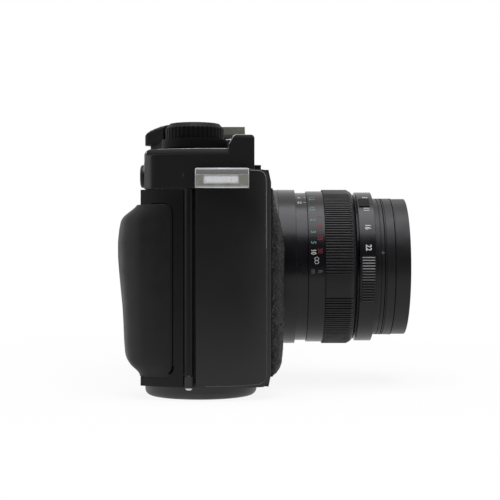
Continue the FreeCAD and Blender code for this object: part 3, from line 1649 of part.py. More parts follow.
def make_advance_lever():
    """Hub ring, arm and ridged thumb pad. The arm is drawn along +X and then turned."""
    body = new_body("lever")
    bore = (0, 0, size.dial_shaft_radius + size.running_gap)
    hub = (0, 0, size.lever_hub_radius)
    pad(body, "lever_hub", "top", (size.lever_low, size.lever_hub_top), hub)
    tip = size.lever_reach - size.lever_tip_radius
    half = size.lever_tip_radius
    arm = [
        (0, -size.lever_root_half),
        (tip, -half, half),
        (size.lever_reach, 0, half),
        (tip, half),
        (0, size.lever_root_half),
    ]
    pad(body, "lever_arm", "top", (size.lever_low, size.lever_arm_top), arm)
    thumb_pad = [
        (size.lever_pad_start, -half),
        (tip, -half, half),
        (size.lever_reach, 0, half),
        (tip, half),
        (size.lever_pad_start, half),
    ]
    pad(body, "lever_pad", "top", (size.lever_arm_top, size.lever_pad_top), thumb_pad)
    pocket(body, "lever_bore", "top", (size.lever_low, size.lever_hub_top), bore)
    grooves = []
    for index in range(int(number(size.lever_ridge_count))):
        start = size.lever_pad_start + size.lever_ridge * (2 * index + 1)
        grooves.append(rectangle(start, start + size.lever_ridge, -half * 2, half * 2))
    groove_span = (size.lever_pad_top - size.lever_ridge, size.lever_pad_top)
    pocket(body, "lever_ridges", "top", groove_span, *grooves)
    body.Placement.Rotation = FreeCAD.Rotation(FreeCAD.Vector(0, 0, 1), 1)
    body.setExpression("Placement.Rotation.Angle", formula(size.lever_angle))
    keep(place(body, x=size.lever_x, y=size.lever_y), "advance_lever")


def make_shutter_dial():
    low = size.deck_top - size.cover_wall
    outline = [
        (low, 0),
        (low, size.dial_shaft_radius),
        (size.dial_low, size.dial_shaft_radius),
        (size.dial_low, size.dial_radius),
        (size.dial_shoulder, size.dial_radius),
        (size.dial_top, size.dial_top_radius),
        (size.dial_top, size.dial_flat_radius),
        (size.dial_top - size.dial_dish, size.dial_flat_radius - size.dial_dish),
        (size.dial_top - size.dial_dish, 0),
    ]
    body = turned("dial", "z", outline)
    notch = (size.dial_radius, 0, size.dial_notch_radius)
    feature = pocket(body, "dial_notch", "top", (size.dial_low, size.dial_top), notch)
    repeat_round(body, feature, (size.dial_notch_count, FULL_TURN))
    keep(place(body, x=size.lever_x, y=size.lever_y), "shutter_dial")


def make_shutter_button():
    """Button with a dished top, and the lock collar round it."""
    low = size.platform_top - size.cover_wall - size.button_travel
    skirt_top = size.platform_top - size.cover_wall - size.slack
    skirt_low = skirt_top - size.button_skirt
    outline = [
        (low - size.button_travel, 0),
        (low - size.button_travel, size.button_radius),
        (size.button_top - size.slack, size.button_radius),
        (size.button_top, size.button_radius - size.slack),
        (size.button_top - size.slack, 0),
    ]
    skirt = [
        (skirt_low, 0),
        (skirt_low, size.button_radius + size.button_skirt),
        (skirt_top, size.button_radius + size.button_skirt),
        (skirt_top, 0),
    ]
    stem = place(turned("button_stem", "z", outline), x=size.button_x, y=size.button_y)
    flange = place(turned("button_flange", "z", skirt), x=size.button_x, y=size.button_y)
    keep(fused("button", stem, flange), "shutter_button")
    collar = new_body("lock")
    ring = (0, 0, size.lock_radius)
    bore = (0, 0, size.button_radius + size.slack)
    span = (size.platform_top + size.running_gap, size.lock_top)
    pad(collar, "lock_ring", "top", span, ring)
    tab = rectangle(0, size.lock_tab_reach, -size.lock_tab_half, size.lock_tab_half)
    pad(collar, "lock_tab", "top", span, tab)
    pocket(collar, "lock_bore", "top", span, bore)
    keep(place(collar, x=size.button_x, y=size.button_y), "release_lock")


# Lens

def make_lens_mount():
    outline = tube(size.front_border, size.mount_face, size.mount_radius, size.mount_bore)
    lens_ring("lens_mount_ring", outline)


def make_lens_barrel():
    """Fixed core of the lens, which carries every ring."""
    outline = [
        (size.aperture_front, size.core_bore),
        (size.core_rear, size.core_bore),
        (size.core_rear, size.mount_bore - size.running_gap),
        (size.mount_face, size.mount_bore - size.running_gap),
        (size.mount_face, size.core_radius),
        (size.rubber_front - size.ring_gap, size.core_radius),
        (size.rubber_front - size.ring_gap, size.neck_radius + size.neck_flare),
        (size.neck_front, size.neck_radius),
        (size.neck_front, size.core_radius),
        (size.aperture_front, size.core_radius),
    ]
    lens_ring("lens_barrel", outline)


def make_fixed_rings():
    gap = size.ring_gap
    core = size.core_radius
    lens_ring("lens_base_ring", tube(size.mount_face, size.collar_front, size.lens_radius, core))
    lens_ring("depth_scale_ring", tube(size.collar_front, size.depth_front + gap, size.depth_radius, core))
    groove = size.barrel_groove
    depth = size.barrel_groove_depth
    outer = size.barrel_radius
    first = size.aperture_front - size.barrel_groove_start
    second = first - size.barrel_groove_spacing
    lens_ring("front_barrel", [
        (size.barrel_front, size.core_bore),
        (size.aperture_front, size.core_bore),
        (size.aperture_front, outer),
        (first, outer),
        (first, outer - depth),
        (first - groove, outer - depth),
        (first - groove, outer),
        (second, outer),
        (second, outer - depth),
        (second - groove, outer - depth),
        (second - groove, outer),
        (size.barrel_front, outer),
    ])
    thread_rear = size.filter_front + size.filter_thread_depth
    lens_ring("filter_ring", [
        (size.barrel_front, size.core_bore),
        (size.barrel_front, size.filter_radius),
        (size.filter_front, size.filter_radius),
        (size.filter_front, size.filter_thread_radius),
        (thread_rear, size.filter_thread_radius),
        (thread_rear, size.core_bore),
    ])


def turned_groove(angle, outer, half, depth):
    """Outline of one groove across the edge of a ring, at an angle round its axis."""
    across = math.cos(math.radians(angle))
    up = math.sin(math.radians(angle))
    floor = outer - depth
    above = outer + depth
    return [
        (floor * across + half * up, floor * up - half * across),
        (above * across + half * up, above * up - half * across),
        (above * across - half * up, above * up + half * across),
        (floor * across - half * up, floor * up + half * across),
    ]


def cut_grooves(body, name, span, outer, half, depths, count, groups, middle_angle):
    """Groups of lengthwise grooves on the edge of a ring, with their depths taken in turn."""
    pitch = number(size.groove_pitch_angle)
    step = pitch * len(depths)
    width = step * (number(count) - 1)
    start = number(middle_angle) - (width + pitch * (len(depths) - 1)) / 2
    outlines = []
    for index, depth in enumerate(depths):
        outlines.append(turned_groove(start + pitch * index, outer, half, depth))
    feature = pocket(body, name, "front", span, *outlines)
    repeat_round(body, feature, (count, width), (groups, FULL_TURN))


def make_focus_rings():
    """Distance scale with its sleeve, and the ribbed rubber round the sleeve."""
    bore = size.core_radius + size.running_gap
    lens_ring("distance_scale_ring", [
        (size.rubber_front, bore),
        (size.depth_front, bore),
        (size.depth_front, size.scale_radius),
        (size.scale_front, size.scale_radius),
        (size.scale_front, size.rubber_seat_radius),
        (size.rubber_front, size.rubber_seat_radius),
    ])
    body = turned("focus_rubber", "y", [
        (size.rubber_front, size.rubber_seat_radius),
        (size.scale_front, size.rubber_seat_radius),
        (size.scale_front, size.lens_radius),
        (size.rubber_front + size.rubber_bevel_length, size.lens_radius),
        (size.rubber_front, size.lens_radius - size.rubber_bevel),
    ])
    span = (size.rubber_front, size.scale_front)
    cut_grooves(
        body,
        "rubber_grooves",
        span,
        size.lens_radius,
        size.rubber_groove_half,
        (size.rubber_groove_deep, size.rubber_groove_shallow),
        size.rubber_groove_count,
        size.rubber_group_count,
        size.rubber_group_angle,
    )
    keep(place(body, z=size.lens_height), "focus_grip")


def make_aperture_ring():
    bore = size.core_radius + size.running_gap
    front = size.aperture_front + size.ring_gap
    body = turned("aperture_turn", "y", tube(size.aperture_rear, front, size.aperture_radius, bore))
    cut_grooves(
        body,
        "aperture_grooves",
        (front, size.aperture_rear),
        size.aperture_radius,
        size.aperture_groove_half,
        (size.aperture_groove_deep,),
        size.aperture_groove_count,
        size.aperture_group_count,
        size.aperture_group_angle,
    )
    keep(place(body, z=size.lens_height), "aperture_ring")


def make_lens_cell():
    """Tube with a stop in its middle, the glass at its ends and the blades in its slots."""
    outer = size.core_bore - size.running_gap
    bore = size.cell_bore
    stop = size.cell_stop_radius
    thick = size.blade_thickness
    slot_shutter = size.shutter_slot
    slot_iris = size.iris_slot
    lens_ring("optical_barrel", [
        (size.cell_front, bore),
        (size.cell_stop_front, bore),
        (size.cell_stop_front, stop),
        (slot_iris - thick, stop),
        (slot_iris - thick, bore),
        (slot_iris, bore),
        (slot_iris, stop),
        (slot_shutter - thick, stop),
        (slot_shutter - thick, bore),
        (slot_shutter, bore),
        (slot_shutter, stop),
        (size.cell_stop_rear, stop),
        (size.cell_stop_rear, bore),
        (size.cell_rear, bore),
        (size.cell_rear, outer),
        (size.cell_front, outer),
    ])
    lens_ring("shutter_blades", disc(slot_shutter - thick, slot_shutter, bore))
    lens_ring("aperture_blades", tube(slot_iris, slot_iris - thick, bore, size.iris_hole_radius))
    front_seat = size.front_glass_seat
    front_edge = front_seat - size.front_glass_edge
    front_rise = size.front_glass_bulge - root(
        size.front_glass_bulge * size.front_glass_bulge - bore * bore
    )
    lens_ring("front_element", [
        (front_edge - front_rise, 0, -size.front_glass_bulge),
        (front_edge, bore),
        (front_seat, bore),
        (front_seat, 0),
    ])
    rear_seat = size.rear_glass_seat
    rear_edge = rear_seat + size.rear_glass_edge
    rear_rise = size.rear_glass_bulge - root(
        size.rear_glass_bulge * size.rear_glass_bulge - bore * bore
    )
    lens_ring("rear_element", [
        (rear_seat, 0),
        (rear_seat, bore),
        (rear_edge, bore, -size.rear_glass_bulge),
        (rear_edge + rear_rise, 0),
    ])
    retainer_rear = size.cell_front
    outline = tube(retainer_rear, retainer_rear - size.retainer_length, outer, size.retainer_bore)
    lens_ring("front_retaining_ring", outline)


def disc(front, rear, radius):
    return [(front, 0), (rear, 0), (rear, radius), (front, radius)]


def make_lens_release():
    """Sprung button beside the mount, with a head that stops behind the front plate."""
    axis = (size.release_x, size.release_z)
    stem_span = (size.release_front, size.front_border)
    stem = rod("release_stem", "y", axis, size.release_radius, stem_span)
    head_span = (size.front_border, size.front_border + size.release_head)
    head = rod("release_head_disc", "y", axis, size.release_radius + size.release_head, head_span)
    keep(fused("release", stem, head), "lens_release_button")


# Inside the body

def make_circuit_board():
    x = (size.board_right, size.board_right + size.board_width)
    y = (size.front_border, size.front_border + size.board_thickness)
    keep(block("board", x, y, (size.board_high - size.board_height, size.board_high)), "circuit_board")


def make_battery():
    """Stack of button cells behind a coin-slotted cap in the front."""
    axis = (size.cell_case_x, size.cell_case_z)
    cap_rear = size.battery_cap_rear
    cap = rod("cap_disc", "y", axis, size.battery_cap_radius, (size.battery_cap_front, cap_rear))
    half = size.coin_slot / 2
    slot = block(
        "cap_slot",
        (axis[0] - size.battery_cap_radius, axis[0] + size.battery_cap_radius),
        (size.battery_cap_front, size.battery_cap_front + size.coin_slot_depth),
        (axis[1] - half, axis[1] + half),
    )
    keep(cut("cap", cap, slot), "battery_cover")
    start = cap_rear + size.slack
    cells = rod("cells", "y", axis, size.battery_radius, (start, start + size.battery_length))
    keep(cells, "battery")


def make_panoramic_mask():
    """Plate in the film gate that leaves a long low window."""
    body = new_body("mask")
    rear = size.gate_block_rear
    gap = size.running_gap
    outer = rectangle(
        gap - size.gate_width / 2,
        size.gate_width / 2 - gap,
        size.lens_height - size.gate_height / 2 + gap,
        size.lens_height + size.gate_height / 2 - gap,
    )
    span = (rear - size.mask_thickness, rear)
    pad(body, "mask_plate", "front", span, outer)
    window = rectangle(
        -size.mask_width / 2,
        size.mask_width / 2,
        size.lens_height - size.mask_height / 2,
        size.lens_height + size.mask_height / 2,
    )
    pocket(body, "mask_window", "front", span, window)
    keep(body, "panoramic_mask")


def make_film_guides():
    """Fixed polished bars that the film bends round beside the gate."""
    bars = []
    for side, title in ((RIGHT, "right"), (LEFT, "left")):
        centre = (side * size.guide_x, size.guide_y)
        span = (size.spool_floor, size.frame_top)
        bars.append(rod(f"guide_{title}", "z", centre, size.guide_radius, span))
    keep(fused("guides", *bars), "film_guides")


def make_curtain():
    """Light shield curtain, wound up under the light path."""
    half = size.gate_width / 2 - size.running_gap
    centre = (size.curtain_y, size.curtain_z)
    keep(rod("curtain", "x", centre, size.curtain_radius, (-half, half)), "shield_curtain_roll")


def make_curtain_crank():
    """Disc in the base with a raised bar to turn it."""
    axis = (size.crank_x, 0)
    low = size.crank_low
    top = low + size.crank_thickness
    plate = rod("crank_disc", "z", axis, size.crank_radius, (low, top))
    stem = rod("crank_stem", "z", axis, size.crank_stem_radius, (top, size.crank_stem_top))
    half = size.crank_handle_half
    reach = size.crank_radius
    pits = []
    for side, title in ((RIGHT, "right"), (LEFT, "left")):
        near = side * half
        far = side * reach
        y = (far, near) if side < 0 else (near, far)
        x = (axis[0] - half * 2, axis[0] + half * 2)
        pits.append(block(f"crank_pit_{title}", x, y, (low, low + size.crank_handle_depth)))
    keep(cut("crank", fused("crank_whole", plate, stem), *pits), "curtain_crank")


# Assembly

def make_camera():
    screws = make_screws()
    make_base(screws)
    make_tripod_socket()
    make_frame(screws)
    make_end_cover(RIGHT, "right_end_cover")
    make_end_cover(LEFT, "left_end_cover")
    make_front_cover(screws)
    make_top_cover(screws)
    make_windows()
    make_eyepiece()
    make_viewfinder_block()
    make_hot_shoe()
    make_strap_lug(RIGHT, "strap_lug_right")
    make_strap_lug(LEFT, "strap_lug_left")
    make_front_grip()
    make_front_leatherette()
    seat = thumb_seat()
    make_door(seat)
    make_thumb_rest(seat)
    make_memo_holder()
    make_pressure_plate()
    make_door_latch()
    make_spool(RIGHT, "take_up_spool", key_up=True)
    make_spool(LEFT, "supply_spool", key_up=False)
    make_take_up_key()
    make_stud(RIGHT, "take_up_stud")
    make_stud(LEFT, "supply_stud")
    make_advance_lever()
    make_shutter_dial()
    make_shutter_button()
    make_lens_mount()
    make_lens_barrel()
    make_fixed_rings()
    make_focus_rings()
    make_aperture_ring()
    make_lens_cell()
    make_lens_release()
    make_circuit_board()
    make_battery()
    make_panoramic_mask()
    make_film_guides()
    make_curtain()
    make_curtain_crank()


def check_document():
    """Stop if any object failed or any sub-part has no valid solid."""
    for piece in document.Objects:
        if "Invalid" in piece.State or "Error" in piece.State:
            raise RuntimeError(f"{piece.Label} did not compute: {piece.State}")
    for piece in nodes:
        if piece.Shape.isNull() or not piece.Shape.isValid() or not piece.Shape.Solids:
            raise RuntimeError(f"{piece.Label} has no valid solid")


def write_parts():
    os.makedirs("parts", exist_ok=True)
    for piece in nodes:
        piece.Shape.exportStep(os.path.join("parts", piece.Label + ".step"))


make_camera()
document.recompute()
check_document()
write_parts()
for piece in nodes:
    print(f"{piece.Label}: {piece.Shape.Volume:.1f} mm3, {len(piece.Shape.Solids)} solids")
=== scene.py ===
import json
import math

import bmesh
import bpy
from mathutils import Matrix, Vector, noise as mathnoise


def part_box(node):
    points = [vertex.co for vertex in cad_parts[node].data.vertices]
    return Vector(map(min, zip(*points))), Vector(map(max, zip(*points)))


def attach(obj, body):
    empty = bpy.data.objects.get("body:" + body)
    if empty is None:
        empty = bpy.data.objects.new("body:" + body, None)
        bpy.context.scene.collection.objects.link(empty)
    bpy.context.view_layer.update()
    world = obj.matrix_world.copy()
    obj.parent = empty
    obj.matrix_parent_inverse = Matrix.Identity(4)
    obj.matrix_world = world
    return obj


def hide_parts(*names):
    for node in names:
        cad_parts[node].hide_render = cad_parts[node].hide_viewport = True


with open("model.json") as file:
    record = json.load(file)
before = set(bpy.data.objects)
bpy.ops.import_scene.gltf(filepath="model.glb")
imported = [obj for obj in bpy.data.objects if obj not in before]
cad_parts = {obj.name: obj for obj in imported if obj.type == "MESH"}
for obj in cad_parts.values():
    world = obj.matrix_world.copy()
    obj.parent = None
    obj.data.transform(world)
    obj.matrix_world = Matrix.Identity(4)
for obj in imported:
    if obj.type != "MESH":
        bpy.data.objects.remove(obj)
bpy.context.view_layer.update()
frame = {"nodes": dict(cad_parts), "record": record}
MM = 0.001
studio = bpy.context.scene


# Helpers for materials

# A Mix node's colour sockets go by number
FIRST_COLOUR = 6
SECOND_COLOUR = 7
MIXED_COLOUR = 2


def link(source, output, target, socket):
    """Joins one node's output to another node's input."""
    source.id_data.links.new(source.outputs[output], target.inputs[socket])


def add_node(tree, kind, inputs=None):
    """A shader node, with values for some of its inputs."""
    node = tree.nodes.new("ShaderNode" + kind)
    for socket, value in (inputs or {}).items():
        node.inputs[socket].default_value = value
    return node


def joined(operation, first, first_output, second, second_output):
    """A Math node that joins two values."""
    node = add_node(first.id_data, "Math")
    node.operation = operation
    link(first, first_output, node, 0)
    link(second, second_output, node, 1)
    return node


def noise(tree, size, detail, stretch=(1, 1, 1)):
    """A noise whose grains are about size metres across, in the object's own coordinates."""
    mapping = add_node(tree, "Mapping", {"Scale": stretch})
    texture = add_node(tree, "TexNoise", {"Scale": 1 / size, "Detail": detail})
    link(add_node(tree, "TexCoord"), "Object", mapping, "Vector")
    link(mapping, "Vector", texture, "Vector")
    return texture


def cells(tree, size, feature):
    """A cell pattern whose cells are about size metres across."""
    texture = add_node(tree, "TexVoronoi", {"Scale": 1 / size})
    texture.feature = feature
    link(add_node(tree, "TexCoord"), "Object", texture, "Vector")
    return texture


def spread(source, output, low, high, start=0.3, end=0.7):
    """Turns a texture's value from start..end into low..high."""
    ends = {"From Min": start, "From Max": end, "To Min": low, "To Max": high}
    node = add_node(source.id_data, "MapRange", ends)
    link(source, output, node, "Value")
    return node


def blend_colours(factor, output, first, second):
    """A colour between first and second."""
    colours = {FIRST_COLOUR: (*first, 1), SECOND_COLOUR: (*second, 1)}
    node = add_node(factor.id_data, "Mix", colours)
    node.data_type = "RGBA"
    link(factor, output, node, 0)
    return node


def add_bump(shader, height, output, depth, before):
    """Raises the surface by depth metres where height is 1."""
    bump = add_node(shader.id_data, "Bump", {"Strength": 1, "Distance": depth})
    link(height, output, bump, "Height")
    link(before, "Normal", bump, "Normal")
    link(bump, "Normal", shader, "Normal")
    return bump


def softened_edges(tree, radius):
    """Rounds the sharp edges a little where the light meets them."""
    bevel = add_node(tree, "Bevel", {"Radius": radius})
    bevel.samples = 6
    return bevel


def add_wear(tree, tint, colour, amount, bevel):
    """Rubs the edges a little lighter, unevenly, where the softened normal turns away from the face."""
    gain = 5
    lift = 0.02
    turn = add_node(tree, "VectorMath")
    turn.operation = "DOT_PRODUCT"
    link(add_node(tree, "NewGeometry"), "Normal", turn, 0)
    link(bevel, "Normal", turn, 1)
    edges = spread(turn, "Value", amount, 0, start=0.8, end=0.98)
    scuffs = noise(tree, size=1.6 * MM, detail=5)
    rubbed = joined("MULTIPLY", edges, "Result", scuffs, "Fac")
    bright = tuple(min(1, c * gain + lift) for c in colour)
    worn = blend_colours(rubbed, "Value", colour, bright)
    link(tint, MIXED_COLOUR, worn, FIRST_COLOUR)
    return worn


def surface_parts(name, colour, roughness, metallic=0.0, specular=0.5, grain=0.4, grain_depth=0.004,
                  patch=9.0, variation=0.18, rough_change=0.06, wear=0.0, stretch=(1, 1, 1),
                  edge=0.3 * MM):
    """A base for the hard finishes: uneven colour and gloss, a fine grain, and lighter worn edges.
    grain, grain_depth and patch are in millimetres."""
    material = bpy.data.materials.new(name)
    material.use_nodes = True
    tree = material.node_tree
    shader = tree.nodes["Principled BSDF"]
    shader.inputs["Metallic"].default_value = metallic
    shader.inputs["Specular IOR Level"].default_value = specular
    patches = noise(tree, patch * MM, detail=4)
    darker = tuple(c * (1 - variation) for c in colour)
    lighter = tuple(min(1, c * (1 + variation)) for c in colour)
    tint = blend_colours(patches, "Fac", darker, lighter)
    bevel = softened_edges(tree, edge)
    if wear:
        tint = add_wear(tree, tint, colour, wear, bevel)
    link(tint, MIXED_COLOUR, shader, "Base Color")
    gloss = spread(patches, "Fac", roughness - rough_change, roughness + rough_change)
    link(gloss, "Result", shader, "Roughness")
    fine = noise(tree, grain * MM, detail=2, stretch=stretch)
    add_bump(shader, fine, "Fac", grain_depth * MM, before=bevel)
    return material, tree, shader


def surface(name, **looks):
    """The material alone."""
    return surface_parts(name, **looks)[0]


def grain_of(shader):
    """The bump node that a surface already has."""
    return shader.inputs["Normal"].links[0].from_node


# Materials

def satin_lacquer():
    """Black satin lacquer on metal, with a very fine orange peel."""
    return surface("satin_lacquer", colour=(0.009, 0.009, 0.0092), roughness=0.34, specular=0.45, grain=0.5,
                   grain_depth=0.0025, patch=14, variation=0.2, rough_change=0.03, wear=0.9, edge=0.45 * MM)


def top_lacquer():
    """The top cover's flat faces are glossier than its roundings, which are rubbed matt."""
    flat_roughness = 0.12
    round_roughness = 0.6
    flat_specular = 0.75
    round_specular = 0.1
    material, tree, shader = surface_parts(
        "top_lacquer", colour=(0.0135, 0.0135, 0.0137), roughness=flat_roughness, specular=flat_specular,
        grain=0.5, grain_depth=0.0008, patch=14, variation=0.2, rough_change=0.02)
    axes = add_node(tree, "SeparateXYZ")
    link(add_node(tree, "NewGeometry"), "Normal", axes, 0)
    rising = spread(axes, "Z", 0, 1, start=0.05, end=0.2)
    falling = spread(axes, "Z", 1, 0, start=0.955, end=0.985)
    slope = joined("MULTIPLY", rising, "Result", falling, "Result")
    dull = spread(slope, "Value", flat_roughness, round_roughness, start=0, end=1)
    link(dull, "Result", shader, "Roughness")
    faint = spread(slope, "Value", flat_specular, round_specular, start=0, end=1)
    link(faint, "Result", shader, "Specular IOR Level")
    return material


def door_lacquer():
    """The door is a little darker and duller than the covers."""
    return surface("door_lacquer", colour=(0.005, 0.005, 0.0051), roughness=0.42, specular=0.26, grain=0.5,
                   grain_depth=0.003, patch=12, variation=0.2, rough_change=0.03, wear=0.9)


def dial_black():
    """Matt black anodising of the dial and the lever's tip."""
    return surface("dial_black", colour=(0.0045, 0.0045, 0.0046), roughness=0.55, specular=0.12, grain=0.3,
                   grain_depth=0.008, patch=5, wear=0.3)


def mount_metal():
    """The mount ring: turned metal, grey from use."""
    return surface("mount_metal", colour=(0.03, 0.03, 0.03), roughness=0.38, metallic=0.3, specular=0.4,
                   grain_depth=0.006, patch=2, variation=0.35, stretch=(0.2, 4, 0.2))


def base_lacquer():
    """The base is rubbed greyer and has a coarser coat."""
    return surface("base_lacquer", colour=(0.026, 0.026, 0.026), roughness=0.5, specular=0.6, grain=0.45,
                   grain_depth=0.012, patch=6, variation=0.3, wear=0.6)


def matt_casting():
    """The rough inside of the castings."""
    return surface("matt_casting", colour=(0.03, 0.03, 0.032), roughness=0.6, metallic=0.3, grain=0.3,
                   grain_depth=0.02, wear=0.4)


def leatherette():
    """Random wrinkles and pebbles of about a millimetre, with painted shade in the creases and painted
    light on their tops.
    """
    material, tree, shader = surface_parts(
        "leatherette", colour=(0.006, 0.006, 0.0062), roughness=0.38, specular=0.34, grain=0.25,
        grain_depth=0.01, variation=0.3)
    pebble_size = 1.25 * MM
    pebble_depth = -0.3 * MM
    wrinkle_size = 1.5 * MM
    wrinkle_depth = 0.75 * MM
    # Painted shade in the creases and painted light on the tops of the relief
    painted_crease_shade = (0.0012, 0.0012, 0.0012)
    painted_top_light = (0.03, 0.03, 0.029)
    pebbles = cells(tree, pebble_size, "SMOOTH_F1")
    pebbles.inputs["Randomness"].default_value = 1
    wrinkles = noise(tree, wrinkle_size, detail=4)
    wrinkles.inputs["Distortion"].default_value = 1.4
    first = add_bump(shader, pebbles, "Distance", pebble_depth, before=grain_of(shader))
    add_bump(shader, wrinkles, "Fac", wrinkle_depth, before=first)
    # The tops mask blends the painted crease shade into the painted top light
    tops = spread(wrinkles, "Fac", 0, 1, start=0.5, end=0.64)
    tint = blend_colours(tops, "Result", painted_crease_shade, painted_top_light)
    link(tint, MIXED_COLOUR, shader, "Base Color")
    return material


def grip_rubber():
    """Black rubber, a little worn on its edges."""
    return surface("grip_rubber", colour=(0.0065, 0.0065, 0.0068), roughness=0.5, specular=0.34, grain=0.35,
                   grain_depth=0.012, patch=6, variation=0.25, wear=0.25, edge=0.6 * MM)


def ring_anodised():
    """Turned rings: fine marks run around the lens, so the grain is drawn out square to its axis."""
    return surface("ring_anodised", colour=(0.006, 0.0058, 0.0078), roughness=0.27, specular=0.28,
                   grain=0.5, grain_depth=0.0022, patch=8, variation=0.2, rough_change=0.04, wear=0.5,
                   stretch=(0.15, 6, 0.15), edge=0.25 * MM)


def ring_matt():
    """The filter ring and the fixed parts at the front have a dull anodised finish."""
    return surface("ring_matt", colour=(0.0085, 0.0085, 0.0095), roughness=0.42, specular=0.3,
                   patch=7, variation=0.2, rough_change=0.05, wear=0.5,
                   stretch=(0.2, 5, 0.2), edge=0.25 * MM)


def satin_plastic():
    return surface("satin_plastic", colour=(0.005, 0.005, 0.0052), roughness=0.36, specular=0.3, grain=0.3,
                   grain_depth=0.006, wear=0.3)


def bright_chrome():
    return surface("bright_chrome", colour=(0.7, 0.7, 0.69), roughness=0.17, metallic=1.0, grain=0.6,
                   grain_depth=0.0008, patch=2.5, variation=0.08)


def blasted_metal():
    """The lugs: blasted, plated and faintly olive; the edges are painted near white, partly polish where
    the blasting stops and partly a painted highlight.
    """
    return surface("blasted_metal", colour=(0.24, 0.24, 0.215), roughness=0.45, metallic=0.2, specular=0.4,
                   grain=0.3, grain_depth=0.02, patch=1.6, variation=0.35, wear=3.0, edge=0.45 * MM)


def painted_reflection_plate():
    """The bottom of the lug's window, painted near white as a reflection on polished metal, with faint
    scratches.
    """
    return surface("painted_reflection_plate", colour=(0.78, 0.79, 0.81), roughness=0.34, metallic=0.15, specular=0.6,
                   grain=0.3, grain_depth=0.006, patch=0.9, variation=0.16, rough_change=0.1,
                   stretch=(1, 0.2, 1), edge=0.1 * MM)


def steel():
    return surface("steel", colour=(0.46, 0.46, 0.45), roughness=0.33, metallic=1.0, grain=0.5,
                   grain_depth=0.002, patch=3, variation=0.12, rough_change=0.08, stretch=(1, 0.1, 1))


def shoe_steel():
    """The accessory shoe: dull, slightly olive from handling."""
    return surface("shoe_steel", colour=(0.2, 0.2, 0.165), roughness=0.5, metallic=0.3,
                   grain_depth=0.01, patch=2.5, variation=0.3, wear=1.5)


def spool_plastic():
    """Dark grey plastic of the film spools."""
    return surface("spool_plastic", colour=(0.03, 0.03, 0.032), roughness=0.42, grain=0.5, grain_depth=0.01,
                   patch=5)


def curtain_cloth():
    """A close plain weave, rubber-coated."""
    material, tree, shader = surface_parts(
        "curtain_cloth", colour=(0.012, 0.012, 0.012), roughness=0.75, specular=0.25, grain=0.2)
    thread = 0.4 * MM
    waves_at_scale_one = 20
    rib_height = 0.05 * MM
    weave = add_node(tree, "TexWave", {"Scale": 1 / thread / waves_at_scale_one})
    weave.bands_direction = "X"
    link(add_node(tree, "TexCoord"), "Object", weave, "Vector")
    add_bump(shader, weave, "Fac", rib_height, before=grain_of(shader))
    return material


def board_green():
    """Green lacquer over copper tracks."""
    material, tree, shader = surface_parts(
        "board_green", colour=(0.02, 0.11, 0.045), roughness=0.35, grain=0.3)
    track_spacing = 3.2 * MM
    lacquer = (0.015, 0.085, 0.035)
    copper_below = (0.05, 0.2, 0.08)
    tracks = cells(tree, track_spacing, "DISTANCE_TO_EDGE")
    lines = spread(tracks, "Distance", 1, 0, start=0.03, end=0.06)
    tint = blend_colours(lines, "Result", lacquer, copper_below)
    link(tint, MIXED_COLOUR, shader, "Base Color")
    return material


def coated_glass():
    """Dark coated glass: faintly violet, with slight smears in its gloss."""
    material, tree, shader = surface_parts(
        "coated_glass", colour=(0.008, 0.008, 0.016), roughness=0.06, specular=0.55, grain=3,
        grain_depth=0.0004, patch=7, variation=0.3, rough_change=0.03)
    shader.inputs["Coat Weight"].default_value = 0.6
    shader.inputs["Coat Roughness"].default_value = 0.03
    shader.inputs["Coat Tint"].default_value = (0.7, 0.66, 1.0, 1)
    return material


def painted_gap_shade():
    """Painted shade: matt black for the shade in the gaps and seams between parts."""
    return surface("painted_gap_shade", colour=(0.0012, 0.0012, 0.0012), roughness=0.9, specular=0.05, grain=0.2,
                   grain_depth=0.03)


def paint_mark(name, colour):
    """The filled lettering: matt enamel, slightly uneven."""
    return surface(name, colour=colour, roughness=0.55, specular=0.3, grain=0.15,
                   patch=0.7, variation=0.2, edge=0.02 * MM)


SLOT_MATERIALS = {
    "black_body_paint": satin_lacquer(),
    "chassis_metal": matt_casting(),
    "leatherette": leatherette(),
    "grip_rubber": grip_rubber(),
    "lens_black": ring_anodised(),
    "black_plastic": satin_plastic(),
    "bright_chrome": bright_chrome(),
    "steel": steel(),
    "optical_glass": coated_glass(),
    "spool_plastic": spool_plastic(),
    "board_green": board_green(),
    "curtain_cloth": curtain_cloth(),
}

LUG_METAL = blasted_metal()
RING_MATT = ring_matt()
DIAL_BLACK = dial_black()

NODE_MATERIALS = {
    "strap_lug_right": LUG_METAL,
    "strap_lug_left": LUG_METAL,
    "filter_ring": RING_MATT,
    "front_retaining_ring": RING_MATT,
    "front_barrel": RING_MATT,
    "hot_shoe": shoe_steel(),
    "bottom_cover": base_lacquer(),
    "top_cover": top_lacquer(),
    "back_door": door_lacquer(),
    "shutter_dial": DIAL_BLACK,
    "advance_lever": DIAL_BLACK,
    "lens_mount_ring": mount_metal(),
}


def finish_nodes():
    """Gives every CAD node its own material, or else the material of its slot."""
    for part in frame["record"]["subparts"]:
        piece = frame["nodes"][part["node"]]
        material = NODE_MATERIALS.get(part["node"], SLOT_MATERIALS[part["material_slot"]])
        if not piece.material_slots:
            piece.data.materials.append(material)
        for holder in piece.material_slots:
            holder.material = material


finish_nodes()


# Helpers for pieces

def show(name, data):
    """A new object in the scene."""
    piece = bpy.data.objects.new(name, data)
    studio.collection.objects.link(piece)
    return piece


def show_shape(name, shape, material):
    """Turns a bmesh into an object with one material."""
    mesh = bpy.data.meshes.new(name)
    shape.to_mesh(mesh)
    shape.free()
    mesh.materials.append(material)
    return show(name, mesh)


def finish_piece(name, shape, body, material, smooth=False):
    """Makes an object of a bmesh, and gives it a body and a material."""
    bmesh.ops.recalc_face_normals(shape, faces=shape.faces)
    piece = show_shape(name, shape, material)
    for face in piece.data.polygons:
        face.use_smooth = smooth
    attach(piece, body)
    return piece


def turns(steps):
    """The angles of one full turn, in equal steps."""
    return [2 * math.pi * step / steps for step in range(steps)]


